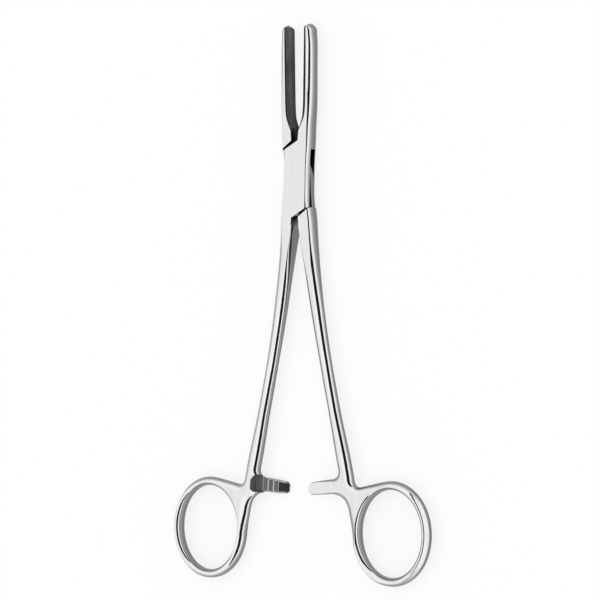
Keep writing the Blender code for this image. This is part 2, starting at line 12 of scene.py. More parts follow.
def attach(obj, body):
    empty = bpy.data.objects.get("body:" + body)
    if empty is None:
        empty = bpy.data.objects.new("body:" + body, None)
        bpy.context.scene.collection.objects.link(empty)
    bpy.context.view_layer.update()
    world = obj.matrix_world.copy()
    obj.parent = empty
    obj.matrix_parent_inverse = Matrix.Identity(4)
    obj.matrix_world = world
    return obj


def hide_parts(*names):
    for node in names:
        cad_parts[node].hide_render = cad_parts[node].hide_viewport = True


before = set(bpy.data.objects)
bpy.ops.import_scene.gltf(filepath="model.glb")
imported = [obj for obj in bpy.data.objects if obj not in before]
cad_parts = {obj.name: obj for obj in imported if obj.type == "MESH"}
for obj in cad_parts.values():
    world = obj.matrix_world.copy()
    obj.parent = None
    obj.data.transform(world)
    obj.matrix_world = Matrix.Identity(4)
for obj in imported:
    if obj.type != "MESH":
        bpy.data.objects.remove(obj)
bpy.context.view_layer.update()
bpy.context.scene.view_settings.view_transform = "Standard"

# The box half
# It is one drop forging of stainless steel, with its jaw on the right and its ring on the left.
# Its outline is trimmed, the edges are rounded by belt and the box is milled and filed out.
# Sizes are in millimetres and drawn with the forceps closed, as in the part's own source.
MM = 0.001
JAW_REACH = 50.5
JAW_DEPTH = 2.85
NOSE_LENGTH = 1.5
NOSE_THINNING = 0.85
NOSE_CURVE = 1.6
FACE_FOOT = 16.2
FACE_FOOT_GAP = 3.0
FACE_TIP_GAP = 0.4
BODY_THICKNESS = 5.6
BOX_WIDTH = 10.4
SHOULDER_REACH = 12.6
SHOULDER_DROP = 3.6
SLOT_THICKNESS = 2.4
SLOT_MARGIN = 0.6
RUNNING_GAP = 0.28
MEETING_GAP = 0.44
PIN_DIAMETER = 3.4
SHANK_ROOT_WIDTH = 5.1
SHANK_WAIST_WIDTH = 4.0
SHANK_FOOT_WIDTH = 4.8
SHANK_WAIST_THICKNESS = 4.2
RING_REACH = 119.2
RING_HOLE_WIDTH = 23.4
RING_HOLE_HEIGHT = 27.7
RING_WIRE_WIDTH = 2.85
RING_THICKNESS = 4.8
RATCHET_REACH = 100.3
RATCHET_HEIGHT = 4.3
RATCHET_THINNED = 13.2
RATCHET_OVERLAP = 2.2
RATCHET_CORNER = 0.18 * RATCHET_HEIGHT
TOOTH_COUNT = 3
TOOTH_PITCH = 2.1
TOOTH_DEPTH = 0.55
TOOTH_START = 3.6

# Angles in degrees. The rest opening is half the angle between the halves as they lie.
REST_OPENING = 4.0
RING_SPREAD = 13.45
RING_TURN = 3.0
SHANK_FLARE = 8.1

# The bar's upper side climbs by this share on the way back to the shank.
BAR_CLIMB = 0.085

# How finely the outline and its edges are drawn. A turn whose sine is above CORNER is a real corner.
EDGE_STEPS = 12
FIELD_STEP = 0.35
CURVE_ERROR = 0.004
LONGEST_SIDE = 1.5
CORNER = 0.5
HAIRLINE = 0.004

BODY_HALF = BODY_THICKNESS / 2
RING_HALF = RING_THICKNESS / 2
WIRE_HALF = RING_WIRE_WIDTH / 2
LIFT = max(BODY_HALF, RING_HALF)
MEET = MEETING_GAP / 2
TONGUE_HALF = SLOT_THICKNESS / 2 - RUNNING_GAP
RING_CENTRE = (
    -RING_REACH * math.sin(math.radians(RING_SPREAD)),
    -RING_REACH * math.cos(math.radians(RING_SPREAD)),
)
RING_RADII = (RING_HOLE_WIDTH / 2 + WIRE_HALF, RING_HOLE_HEIGHT / 2 + WIRE_HALF)
RATCHET_BOTTOM = -RATCHET_REACH - RATCHET_HEIGHT / 2
RATCHET_TOP = -RATCHET_REACH + RATCHET_HEIGHT / 2


def smooth(x, low, high):
    """0 below low and 1 above high, with a soft change between them."""
    t = min(max((x - low) / (high - low), 0.0), 1.0)
    return t * t * (3 - 2 * t)


def table(x, rows):
    """A value read from rows of (place, value), softly joined. The places run upwards."""
    if x <= rows[0][0]:
        return rows[0][1]
    for (x0, v0), (x1, v1) in zip(rows, rows[1:]):
        if x <= x1:
            return v0 + (v1 - v0) * smooth(x, x0, x1)
    return rows[-1][1]


def line(x, rows):
    """A value read from rows of (place, value), joined by straight lines."""
    return float(np.interp(x, [r[0] for r in rows], [r[1] for r in rows]))


# The shank runs from the shoulder to the inner side of the ring, bending outwards on the way.
SHANK_TOP = SHOULDER_REACH + 1.4
ring_turn = math.radians(RING_TURN)
SHANK_END = (
    RING_CENTRE[0] + RING_RADII[0] * math.cos(ring_turn),
    RING_CENTRE[1] + RING_RADII[0] * math.sin(ring_turn),
)
SHANK_START = -(MEET + SHANK_ROOT_WIDTH / 2 + 0.05)
SHANK_RUN = -SHANK_TOP - SHANK_END[1]


def shank_share(y):
    """0 at the shank's root and 1 where it ends in the ring."""
    return min(max((-SHANK_TOP - y) / SHANK_RUN, 0.0), 1.0)


def shank_centre(y):
    """Where the shank's middle line is. It leaves the box straight and flares out to the ring."""
    t = shank_share(y)
    side = SHANK_END[0] - SHANK_START
    end_slope = -math.tan(math.radians(SHANK_FLARE)) * SHANK_RUN / side
    bend = 3 * t**2 - 2 * t**3 + (t**3 - t**2) * end_slope
    return SHANK_START + side * bend


def shank_half_width(y):
    """It tapers to the waist, widens a little and ends as narrow as the ring's wire."""
    rows = (
        (0.0, SHANK_ROOT_WIDTH / 2),
        (0.09, SHANK_ROOT_WIDTH / 2 * 0.97),
        (0.52, SHANK_WAIST_WIDTH / 2),
        (0.6, SHANK_WAIST_WIDTH / 2),
        (0.78, SHANK_FOOT_WIDTH / 2),
        (0.92, WIRE_HALF),
    )
    return table(shank_share(y), rows)


def half_thickness(y):
    """Half the thickness of a half at this place along it."""
    rows = (
        (-RATCHET_REACH, RING_HALF),
        (-0.6 * RATCHET_REACH, SHANK_WAIST_THICKNESS / 2),
        (-2.2 * SHOULDER_REACH, 0.35 * SHANK_WAIST_THICKNESS / 2 + 0.65 * BODY_HALF),
        (-SHOULDER_REACH, BODY_HALF),
    )
    end = min(max(y - JAW_REACH + NOSE_LENGTH, 0.0) / NOSE_LENGTH, 1.0)
    return line(y, rows) * (1 - NOSE_THINNING * end**NOSE_CURVE)


# The outline of the lower part is where this field is zero: ring, shank and ratchet bar melted
# together, with a radius in each inner corner.
def melt(a, b, radius):
    """The lower of two fields, melted together where they are nearly the same."""
    h = max(radius - abs(a - b), 0.0) / radius
    return min(a, b) - h * h * radius / 4


def ring_field(x, y):
    """How far a point lies outside the ring's outer oval, and below zero inside it."""
    dx, dy = x - RING_CENTRE[0], y - RING_CENTRE[1]
    c, s = math.cos(ring_turn), math.sin(ring_turn)
    u, v = dx * c + dy * s, -dx * s + dy * c
    ax, ay = RING_RADII[0] + WIRE_HALF, RING_RADII[1] + WIRE_HALF
    k0 = math.hypot(u / ax, v / ay)
    k1 = math.hypot(u / ax**2, v / ay**2)
    return k0 * (k0 - 1) / max(k1, 1e-9)


def shank_field(x, y):
    """How far a point lies outside the shank."""
    change = shank_centre(y + 0.5) - shank_centre(y - 0.5)
    slope = change / math.hypot(1.0, change)
    side = abs(x - shank_centre(y)) * math.sqrt(1 - slope**2) - shank_half_width(y)
    return max(side, SHANK_END[1] - y)


def bar_field(x, y):
    """How far a point lies outside the ratchet bar."""
    root = shank_centre(-RATCHET_REACH)
    x0, x1 = root, RATCHET_OVERLAP
    rise = BAR_CLIMB * min(max(x1 - x, 0.0), x1 - root)
    corner = RATCHET_CORNER
    y0, y1 = RATCHET_BOTTOM, RATCHET_TOP + rise
    qx = abs(x - (x0 + x1) / 2) - (x1 - x0) / 2 + corner
    qy = abs(y - (y0 + y1) / 2) - (y1 - y0) / 2 + corner
    return math.hypot(max(qx, 0.0), max(qy, 0.0)) + min(max(qx, qy), 0.0) - corner


def web_field(x, y):
    """The flat corner between the top of the ring and the shank."""
    high = RING_CENTRE[1] + RING_RADII[1] + WIRE_HALF
    x0, y0 = RING_CENTRE[0] + 0.15 * RING_RADII[0], high - 0.1 * WIRE_HALF
    x1, y1 = shank_centre(high), high - 0.72 * RING_WIRE_WIDTH
    size = math.hypot(x1 - x0, y1 - y0)
    above = ((x1 - x0) * (y - y0) - (y1 - y0) * (x - x0)) / size
    return max(above, x0 - x, x - shank_centre(y), RING_CENTRE[1] - y)


def field(x, y):
    """All of them, melted with a wider radius on the outer side of the shank and under the bar."""
    outer = smooth(shank_centre(y) - x, -0.2 * WIRE_HALF, 0.2 * WIRE_HALF)
    ring = min(ring_field(x, y), web_field(x, y))
    body = melt(ring, shank_field(x, y), RING_WIRE_WIDTH * (0.2 + 0.9 * outer))
    below = smooth(-y, RATCHET_REACH - 1.0, RATCHET_REACH + 2.0)
    return melt(body, bar_field(x, y), RATCHET_HEIGHT * (0.7 + 0.6 * below))


def follow_field(start, end_y, step):
    """Points along the zero line of the field, from start downwards and round to end_y again."""
    points = []
    x, y = start
    heading = (0.0, -1.0)
    for _ in range(2000):
        for _ in range(4):
            value = field(x, y)
            gx = (field(x + 1e-3, y) - field(x - 1e-3, y)) / 2e-3
            gy = (field(x, y + 1e-3) - field(x, y - 1e-3)) / 2e-3
            size = gx * gx + gy * gy
            x, y = x - value * gx / size, y - value * gy / size
        points.append((x, y))
        if len(points) > 20 and y > end_y and x > shank_centre(end_y):
            return points
        size = math.hypot(gx, gy)
        heading = (-gy / size, gx / size)
        x, y = x + heading[0] * step, y + heading[1] * step
    raise ValueError("the outline of the ring didn't close")


def thinned(points, error, split=True):
    """The same line without the points that lie within error of it, and with long sides split."""
    fine = [points[0]]
    for (x0, y0), (x1, y1) in zip(points, points[1:]):
        count = 1
        if split:
            count = max(1, math.ceil(math.hypot(x1 - x0, y1 - y0) / (0.4 * LONGEST_SIDE)))
        fine += [(x0 + (x1 - x0) * k / count, y0 + (y1 - y0) * k / count) for k in range(1, count + 1)]
    points = np.asarray(fine, float)
    keep = np.zeros(len(points), bool)
    keep[0] = keep[-1] = True
    stack = [(0, len(points) - 1)]
    while stack:
        i, j = stack.pop()
        if j <= i + 1:
            continue
        along = points[j] - points[i]
        size = max(np.hypot(*along), 1e-9)
        off = points[i + 1 : j] - points[i]
        distance = np.abs(along[0] * off[:, 1] - along[1] * off[:, 0]) / size
        worst = int(distance.argmax()) + i + 1
        if distance.max() <= error:
            worst = (i + j) // 2
        if distance.max() > error or split and np.hypot(*along) > LONGEST_SIDE:
            keep[worst] = True
            stack += [(i, worst), (worst, j)]
    return [tuple(p) for p in points[keep]]


def curve_through(stations, step):
    """A soft line through (x, y) stations, by cubic pieces with shared slopes."""
    p = np.asarray(stations, float)
    slope = np.zeros_like(p)
    slope[1:-1] = (p[2:] - p[:-2]) / 2
    slope[0], slope[-1] = p[1] - p[0], p[-1] - p[-2]
    out = []
    for i in range(len(p) - 1):
        count = max(2, int(math.hypot(*(p[i + 1] - p[i])) / step))
        for k in range(count):
            t = k / count
            a, b = 2 * t**3 - 3 * t**2 + 1, t**3 - 2 * t**2 + t
            c, d = -2 * t**3 + 3 * t**2, t**3 - t**2
            out.append(tuple(a * p[i] + b * slope[i] + c * p[i + 1] + d * slope[i + 1]))
    return out + [tuple(p[-1])]


# Each edge is part of an ellipse from the side up to the flat. An edge kind says, for a place along
# the forceps, how far in it reaches and at which angle of the ellipse the flat begins. An angle of
# zero makes a square edge. Radii are in millimetres, and the flat is met at so many degrees.
OUTER_RADII = (
    (-108.0, 2.28),
    (-97.0, 4.0),
    (-41.0, 4.0),
    (-30.0, 2.9),
    (-21.0, 2.3),
    (19.8, 2.3),
    (31.0, 2.46),
)
OUTER_MEETS_FLAT = (
    (-108.0, 29.7),
    (-97.0, 22.0),
    (-41.0, 22.0),
    (-30.0, 30.0),
    (-21.0, 40.0),
    (-12.0, 41.0),
    (-6.0, 45.4),
    (5.0, 45.4),
    (13.3, 41.0),
    (19.8, 37.0),
    (26.3, 32.0),
    (33.0, 23.0),
    (45.0, 14.0),
)
SOFT_RADII = ((-24.0, 4.0), (-14.0, 2.3))
SOFT_MEETS_FLAT = ((-24.0, 22.0), (-14.0, 40.0))
FILED_EDGE = 0.25
SQUARE_EDGE = 0.22


def rounding(radius, y, meets_flat):
    """An edge of this radius inwards that meets the flat at this many degrees from it."""
    k = radius / half_thickness(y) * math.tan(math.radians(meets_flat))
    sine = (math.sqrt(1 + 4 * k * k) - 1) / (2 * k)
    return radius * (1 - sine), math.asin(sine)


def outer_edge(y):
    """Crisp along the box, rounder along the shank and the jaw."""
    return rounding(table(y, OUTER_RADII), y, table(y, OUTER_MEETS_FLAT))


def soft_outer_edge(y):
    """The outer side of the box half's shank, which is rounder from its root on."""
    return rounding(table(y, SOFT_RADII), y, table(y, SOFT_MEETS_FLAT))


def inner_edge(y):
    """Filed square below the box and rounder down the shank."""
    round_share = smooth(-y, 1.2 * SHOULDER_REACH, 3.0 * SHOULDER_REACH)
    reach = FILED_EDGE + round_share * (SHANK_WAIST_WIDTH * 0.45 - FILED_EDGE)
    reach += 0.6 * smooth(-y, RATCHET_REACH, RATCHET_REACH + 6.0)
    return reach, math.radians(26 * round_share + 6 * smooth(-y, 50.0, 70.0))


def face_edge(y):
    """The left jaw's square edge, a little wider along the clamping face."""
    return SQUARE_EDGE + 0.2 * smooth(y, FACE_FOOT, FACE_FOOT + 5.0), 0.0


def broad_face_edge(y):
    """The right jaw's square edge, which is broader."""
    return SQUARE_EDGE + 0.8 * smooth(y, FACE_FOOT, FACE_FOOT + 5.0), 0.0


def tip_edge(y):
    """The nose's broad edge, which narrows towards the tip."""
    top = smooth(y, JAW_REACH - JAW_DEPTH * 0.5, JAW_REACH)
    return JAW_DEPTH * (0.68 - 0.48 * top), math.radians(12 - 7 * top)


def corner_edge(y):
    """The small edge where the nose turns into the clamping face."""
    return JAW_DEPTH * 0.12, math.radians(5)


def bar_edge(y):
    """The small edge of the ratchet bar, the same all along it."""
    return 0.45, math.radians(15)


def lower_line():
    """The outline from the outer side of the shank round the ring and the bar to its inner side."""
    join = -0.6 * RATCHET_REACH
    start = (shank_centre(join) - shank_half_width(join), join)
    points = follow_field(start, join, FIELD_STEP)
    points = thinned(points, CURVE_ERROR)
    edges = []
    for (x0, y0), (x1, y1) in zip(points, points[1:]):
        x, y = (x0 + x1) / 2, (y0 + y1) / 2
        inner = x > shank_centre(y)
        reach, start_angle = inner_edge(y) if inner else outer_edge(y)
        # The bar's own edge takes over a little way out from the shank.
        on_bar = smooth(x - shank_centre(y), SHANK_FOOT_WIDTH / 2 + 2.2, SHANK_FOOT_WIDTH / 2 + 4.2)
        if y < RATCHET_BOTTOM - 4:
            on_bar = 0.0
        bar_reach, bar_angle = bar_edge(y)
        reach += on_bar * (bar_reach - reach)
        start_angle += on_bar * (bar_angle - start_angle)
        edges.append((reach, start_angle))
    return points, edges


# The clamping face is straight from this far above its foot. The nose's half width, its height and
# its inner corner are shares of the jaw's depth, and the right jaw is this much broader.
FACE_CURVE = 9.0
NOSE_WIDTH = 0.64
NOSE_HEIGHT = 1.15
NOSE_CORNER = 0.26
RIGHT_JAW_EXTRA = 0.22


def outline(tongue):
    """The closed outline of one half, counter-clockwise, with an edge kind for each side.

    Both halves are drawn with the jaw at +X. The tongue half is mirrored afterwards, so its
    tongue is drawn here leaning the other way.
    """
    half = BOX_WIDTH / 2
    drop_y = SHOULDER_REACH - SHOULDER_DROP
    extra = 0.0 if tongue else RIGHT_JAW_EXTRA
    points, edges = [], []

    def jaw_at(share):
        """How high this share of the straight part of the clamping face is."""
        return FACE_FOOT + FACE_CURVE + share * (JAW_REACH - FACE_FOOT - FACE_CURVE)

    def gap_at(share):
        """How far the clamping face is from the middle there."""
        return (FACE_FOOT_GAP + share * (FACE_TIP_GAP - FACE_FOOT_GAP)) / 2

    def run(line_points, kind, split=True):
        """Goes on along this line, with this kind of edge."""
        thin = thinned(line_points, CURVE_ERROR, split)
        if points:
            if math.dist(thin[0], points[-1]) < 1e-6:
                thin = thin[1:]
            edges.append(kind((points[-1][1] + thin[0][1]) / 2))
        for a, b in zip(thin, thin[1:]):
            edges.append(kind((a[1] + b[1]) / 2))
        points.extend(thin)

    # The tip is a round nose, from the outer side over to the clamping face.
    tip_gap = gap_at(1.0)
    rx, ry = JAW_DEPTH * NOSE_WIDTH + extra, JAW_DEPTH * NOSE_HEIGHT
    turn_in = JAW_DEPTH * NOSE_CORNER
    nose, corner = [], []
    for k in range(10):
        t = math.radians(90 * k / 9)
        nose.append((tip_gap + turn_in + rx * math.cos(t), JAW_REACH - ry + ry * math.sin(t)))
    for k in range(7):
        t = math.radians(90 + 90 * k / 6)
        across, along = turn_in * (1 + math.cos(t)), turn_in * math.sin(t)
        corner.append((tip_gap + across, JAW_REACH - turn_in + along))
    run(nose, tip_edge)
    run(corner, corner_edge)
    # The clamping face and the curve at its foot, then the meeting face above the shoulder.
    top, bottom = corner[-1], (gap_at(0.0), jaw_at(0.0))
    rounded = (top[1] - JAW_REACH + NOSE_LENGTH) / (top[1] - bottom[1])
    stops = [0.0, rounded / 3, rounded * 2 / 3, rounded, 1.0]
    face_line = [(top[0] + (bottom[0] - top[0]) * s, top[1] + (bottom[1] - top[1]) * s) for s in stops]
    face_kind = face_edge if tongue else broad_face_edge
    for pair in zip(face_line, face_line[1:]):
        run(list(pair), face_kind)
    foot = curve_through(
        (
            (gap_at(0.0), jaw_at(0.0)),
            (gap_at(0.0) + 0.06, FACE_FOOT + 5.5),
            (gap_at(0.0) - 0.1, FACE_FOOT + 3.6),
            (gap_at(0.0) - 0.7, FACE_FOOT + 1.3),
            (MEET, FACE_FOOT - 0.4),
        ),
        0.6,
    )
    run(foot, face_kind)
    # The shoulder above the box and its left side. The sides' stations are shares of the box's half
    # width and of the height of the shoulders' lower ends.
    if tongue:
        wide, gap = 0.76, RUNNING_GAP
        left = ((0.84, 0.66), (0.98, 0.08), (0.97, -0.45), (0.97, -0.95))
        right = ((0.84, -0.66), (0.98, -0.08), (0.97, 0.45), (0.955, 0.95))
    else:
        wide, gap = 1.07, 0.0
        left = ((1.02, 0.45), (0.99, 0.0), (0.98, -0.5), (1.0, -1.0))
        right = ((1.02, -0.45), (0.98, 0.0), (0.94, 0.5), (0.935, 1.0))
    shoulder = SHOULDER_REACH - gap
    run([(MEET, FACE_FOOT - 0.4), (MEET, shoulder)], face_edge)
    stations = [(-half * wide, drop_y - gap * 0.5)]
    run([(MEET, shoulder), stations[0]], face_edge, False)
    stations += [(-half * across, drop_y * along) for across, along in left]
    stations.append((SHANK_START - SHANK_ROOT_WIDTH / 2, -SHANK_TOP))
    run(curve_through(stations, 1.0), outer_edge)
    # The outer side of the shank, the ring with the bar, and the inner side of the shank.
    low_points, low_edges = lower_line()
    ys = np.linspace(-SHANK_TOP, low_points[0][1], 24)
    shank_edge = outer_edge if tongue else soft_outer_edge
    run([(shank_centre(y) - shank_half_width(y), y) for y in ys[:-1]] + [low_points[0]], shank_edge)
    points.extend(low_points[1:])
    edges.extend(low_edges)
    ys = np.linspace(low_points[-1][1], -SHANK_TOP, 24)
    inner = [low_points[-1]] + [(shank_centre(y) + shank_half_width(y), y) for y in ys[1:]]
    run(inner, inner_edge)
    # The shoulder below the box and its right side, up to the jaw.
    run([inner[-1], (-MEET, -shoulder)], face_edge)
    stations = [(half * wide, -drop_y + gap * 0.5)]
    run([(-MEET, -shoulder), stations[0]], face_edge, False)
    stations += [(half * across, drop_y * along) for across, along in right]
    stations += [
        (half * 0.93, SHOULDER_REACH),
        (half * 0.904, FACE_FOOT + 1.3),
        (gap_at(0.0) + JAW_DEPTH * 1.03 + extra, jaw_at(0.0)),
        (gap_at(0.45) + JAW_DEPTH * 1.0 + extra, jaw_at(0.45)),
        (gap_at(0.75) + JAW_DEPTH * 0.95 + extra, jaw_at(0.75)),
        nose[0],
    ]
    run(curve_through(stations, 1.0), outer_edge)
    # The last point is the first one again.
    return points[:-1], edges


# The opening's edge reaches this share of the wire's half width in. The tongue half's edge is crisp
# beside the shank and broader by a share where the wire leaves it.
HOLE_POINTS = 56
HOLE_EDGE = 0.88
HOLE_START = 22.0
BROADER = 1.3
CRISP_RADIUS = 2.3
CRISP_MEETS_FLAT = 43.0


def hole(tongue):
    """The ring's opening, clockwise, so that the steel lies on the left of it too."""
    ax, ay = RING_RADII[0] - WIRE_HALF, RING_RADII[1] - WIRE_HALF
    c, s = math.cos(ring_turn), math.sin(ring_turn)
    points, edges = [], []
    for k in range(HOLE_POINTS):
        t = -2 * math.pi * k / HOLE_POINTS
        u, v = ax * math.cos(t), ay * math.sin(t)
        points.append((RING_CENTRE[0] + u * c - v * s, RING_CENTRE[1] + u * s + v * c))
        beside = smooth(math.cos(t), 0.1, 0.5) if tongue else 0.0
        crisp, broad = beside * smooth(v, -0.1 * ay, 0.2 * ay), beside * smooth(-v, 0.0, 0.3 * ay)
        crisp_reach, crisp_start = rounding(CRISP_RADIUS, points[-1][1], CRISP_MEETS_FLAT)
        reach = WIRE_HALF * (HOLE_EDGE + BROADER * broad)
        start = math.radians(HOLE_START)
        edges.append((reach + crisp * (crisp_reach - reach), start + crisp * (crisp_start - start)))
    return points, edges


def sides_of(points):
    """The middle, the inward normal and the turn from the side before, for each side."""
    p = np.asarray(points, float)
    nxt = np.roll(p, -1, axis=0)
    along = nxt - p
    along /= np.hypot(along[:, 0], along[:, 1])[:, None]
    before = np.roll(along, 1, axis=0)
    turn = along[:, 0] * before[:, 1] - along[:, 1] * before[:, 0]
    return (p + nxt) / 2, np.stack([-along[:, 1], along[:, 0]], axis=1), np.abs(turn)


# Only sides ahead by more than this sine count as facing. Two roundings use this share of the room
# between them, and no side reaches in more times this far than the one next to it.
AHEAD = 0.04
ROOM_USED = 0.86
MOST_CHANGE = 1.3


def neighbours(reach, corner):
    """The reach of the side before and after each side, or its own beside a corner."""
    before = np.where(corner, reach, np.roll(reach, 1))
    after = np.where(np.roll(corner, -1), reach, np.roll(reach, -1))
    return before, after


def limited(points, edges, others, other_edges):
    """The reach of each side's rounding, so that the roundings of two sides facing never meet."""
    mid, normal, turn = sides_of(points)
    q = np.concatenate([mid, sides_of(others)[0]])
    reach = np.array([e[0] for e in edges])
    corner = turn > CORNER
    for _ in range(12):
        before, after = neighbours(reach, corner)
        reach = (before + 2 * reach + after) / 4
    # Two sides share the room between them by the reach that each wishes for.
    wish = reach.copy()
    facing = np.concatenate([wish, [e[0] for e in other_edges]])
    for i in range(len(mid)):
        off = q - mid[i]
        ahead = off @ normal[i]
        far = (off**2).sum(axis=1)
        ok = ahead > AHEAD * np.sqrt(far)
        if ok.any():
            fit = far[ok] / ahead[ok] * wish[i] / (wish[i] + facing[ok])
            reach[i] = min(reach[i], ROOM_USED * fit.min())
    for _ in range(4):
        before, after = neighbours(reach, corner)
        reach = np.minimum(reach, np.minimum(before, after) * MOST_CHANGE)
    return reach


def inset(points, distances):
    """Each point moved inwards to where its two edges meet after their own moves."""
    p = np.asarray(points, float)
    normal = sides_of(points)[1]
    d = np.asarray(distances, float)
    out = []
    for i in range(len(p)):
        n0, n1, d0, d1 = normal[i - 1], normal[i], d[i - 1], d[i]
        cross = n0[0] * n1[1] - n0[1] * n1[0]
        if abs(cross) > CORNER:
            move = np.array([d0 * n1[1] - d1 * n0[1], n0[0] * d1 - n1[0] * d0]) / cross
        else:
            both = n0 + n1
            both /= np.hypot(*both)
            move = both * (d0 + d1) / 2 / max(both @ n1, 0.5)
        out.append(p[i] + move)
    return np.array(out)


def bevelled(points):
    """1 on the far side of the ring, where it has a broad bevel, and 0 elsewhere."""
    middle, inwards, _ = sides_of(points)
    out = []
    for (x, y), (nx, ny) in zip(middle, inwards):
        # The bearing is 0 degrees at the far left, -90 at the bottom and 90 at the top.
        bearing = math.degrees(math.atan2(-ny, nx))
        far = x < RING_CENTRE[0] and y < RATCHET_TOP
        out.append(smooth(bearing, -82, -60) * (1 - smooth(bearing, 30, 50)) if far else 0.0)
    return np.array(out)


# The bevel's profile, as (share of the reach, share of the half thickness) from the outside in.
BEVEL = (
    (0.0, 0.0),
    (0.004, 0.12),
    (0.03, 0.24),
    (0.08, 0.34),
    (0.13, 0.399),
    (0.16, 0.423),
    (0.38, 0.596),
    (0.59, 0.762),
    (0.62, 0.786),
    (0.72, 0.861),
    (0.82, 0.927),
    (0.92, 0.977),
    (1.0, 1.0),
)

# An edge whose flat begins below this angle turns towards a square one, which has a small round
# corner of this share of the half thickness.
SQUARE_BELOW = math.radians(6)
SQUARE_CORNER = 0.1


def loops_of(points, edges, others, other_edges, steps, ringed=False):
    """Rings of (x, y, share of the half thickness), from the outline in to the edge of the flat."""
    reach = limited(points, edges, others, other_edges)
    start = np.array([e[1] for e in edges])
    square = np.clip(1 - start / SQUARE_BELOW, 0.0, 1.0)
    bevel = bevelled(points) if ringed else np.zeros(len(points))
    loops = []
    for k in range(steps + 1):
        angle = math.pi / 2 - (math.pi / 2 - start) * k / steps
        share = (1 - np.sin(angle)) / (1 - np.sin(start))
        rise = np.cos(angle) / np.cos(start)
        share += bevel * (BEVEL[k][0] - share)
        rise += bevel * (BEVEL[k][1] - rise)
        if k:
            corner = math.pi / 2 * (k - 1) / (steps - 1)
            share += square * (1 - math.cos(corner) - share)
            rise += square * (1 - SQUARE_CORNER * (1 - math.sin(corner)) - rise)
        flat = inset(points, reach * share) if k else np.asarray(points, float)
        rise = (rise + np.roll(rise, 1)) / 2
        loops.append(np.column_stack([flat, rise if k else np.zeros(len(rise))]))
    return loops


def encloses(line_points, point):
    """Whether the point lies inside the closed line."""
    x, y = point
    inside = False
    for (x0, y0), (x1, y1) in zip(line_points, np.roll(line_points, -1, axis=0)):
        if (y0 > y) != (y1 > y) and x < x0 + (x1 - x0) * (y - y0) / (y1 - y0):
            inside = not inside
    return inside


def add_node(tree, kind, inputs=None, **settings):
    """A new node with its settings. Each input is a number, a colour or another node's socket."""
    node = tree.nodes.new(kind)
    for name, value in settings.items():
        setattr(node, name, value)
    for place, value in (inputs or {}).items():
        if isinstance(value, bpy.types.NodeSocket):
            tree.links.new(value, node.inputs[place])
        else:
            node.inputs[place].default_value = value
    return node


def math_node(tree, operation, first, second=0.5):
    """The result of a Math node."""
    return add_node(tree, "ShaderNodeMath", {0: first, 1: second}, operation=operation).outputs[0]


def parts_of(tree, vector):
    """The X, Y and Z of a vector."""
    return add_node(tree, "ShaderNodeSeparateXYZ", {"Vector": vector}).outputs


def spread_over(tree, value, start, end, low=0.0, high=1.0):
    """A value that runs from start to end, made to run from low to high."""
    inputs = {"Value": value, "From Min": start, "From Max": end, "To Min": low, "To Max": high}
    return add_node(tree, "ShaderNodeMapRange", inputs).outputs["Result"]


def tone_by(tree, value, stops):
    """A grey read from stops of (value, linear grey), softly joined."""
    ramp = add_node(tree, "ShaderNodeValToRGB", {"Fac": value})
    ramp.color_ramp.interpolation = "EASE"
    points = ramp.color_ramp.elements
    for place, grey in stops[1:-1]:
        points.new(place)
    for point, (place, grey) in zip(points, stops):
        point.position = place
        point.color = (grey, grey, grey, 1.0)
    return ramp.outputs["Color"]


def between(tree, value, low, high):
    """A noise value, which mostly lies from 0.3 to 0.7, spread over low to high."""
    return spread_over(tree, value, 0.3, 0.7, low, high)


# The marks' lines are drawn out along the forceps by this scale. The scales of the broader marks are
# in waves to a metre, and the depth of the finest lines is in metres.
DRAWN_OUT = 0.03
STREAK_SCALE = 650.0
SMUDGE_SCALE = 180.0
LINE_DEPTH = 0.00002


def polishing_marks():
    """Shader group: fine lines drawn along the forceps by the belt, broader streaks and smudges."""
    tree = bpy.data.node_groups.new("polishing_marks", "ShaderNodeTree")
    for name in ("Fineness", "Depth"):
        tree.interface.new_socket(name, in_out="INPUT", socket_type="NodeSocketFloat")
    for name in ("Lines", "Streaks", "Smudges"):
        tree.interface.new_socket(name, in_out="OUTPUT", socket_type="NodeSocketFloat")
    tree.interface.new_socket("Normal", in_out="OUTPUT", socket_type="NodeSocketVector")
    ins = add_node(tree, "NodeGroupInput").outputs
    place = add_node(tree, "ShaderNodeTexCoord").outputs["Object"]
    stretch = add_node(tree, "ShaderNodeMapping", {"Vector": place, "Scale": (1.0, DRAWN_OUT, 1.0)})
    noise = {}
    for name, vector, scale, detail in (
        ("Lines", stretch.outputs["Vector"], ins["Fineness"], 3.0),
        ("Streaks", stretch.outputs["Vector"], STREAK_SCALE, 2.0),
        ("Smudges", place, SMUDGE_SCALE, 2.0),
    ):
        inputs = {"Vector": vector, "Scale": scale, "Detail": detail}
        noise[name] = add_node(tree, "ShaderNodeTexNoise", inputs).outputs["Fac"]
    relief = {"Distance": LINE_DEPTH, "Strength": ins["Depth"], "Height": noise["Lines"]}
    bump = add_node(tree, "ShaderNodeBump", relief)
    add_node(tree, "NodeGroupOutput", {**noise, "Normal": bump.outputs["Normal"]})
    return tree


marks = polishing_marks()


# A face's measure is this at the front. It is less by these for an edge on the left and at the back,
# which paints shade there.
FRONT_MEASURE = 0.9
LEFT_EDGE_PAINTED_SHADE = 0.4
BACK_PAINTED_SHADE = 0.12


def facing_front(tree, normal):
    """Highest for faces that look to the front or back, less for sides and, as painted shade, for left
    edges.
    """
    parts = parts_of(tree, normal)
    leaning = math_node(tree, "MULTIPLY", parts["X"], LEFT_EDGE_PAINTED_SHADE)
    front = math_node(tree, "ADD", parts["Z"], leaning)
    back = math_node(tree, "SUBTRACT", math_node(tree, "MULTIPLY", parts["Z"], -1.0), BACK_PAINTED_SHADE)
    return math_node(tree, "MULTIPLY", math_node(tree, "MAXIMUM", front, back), FRONT_MEASURE)


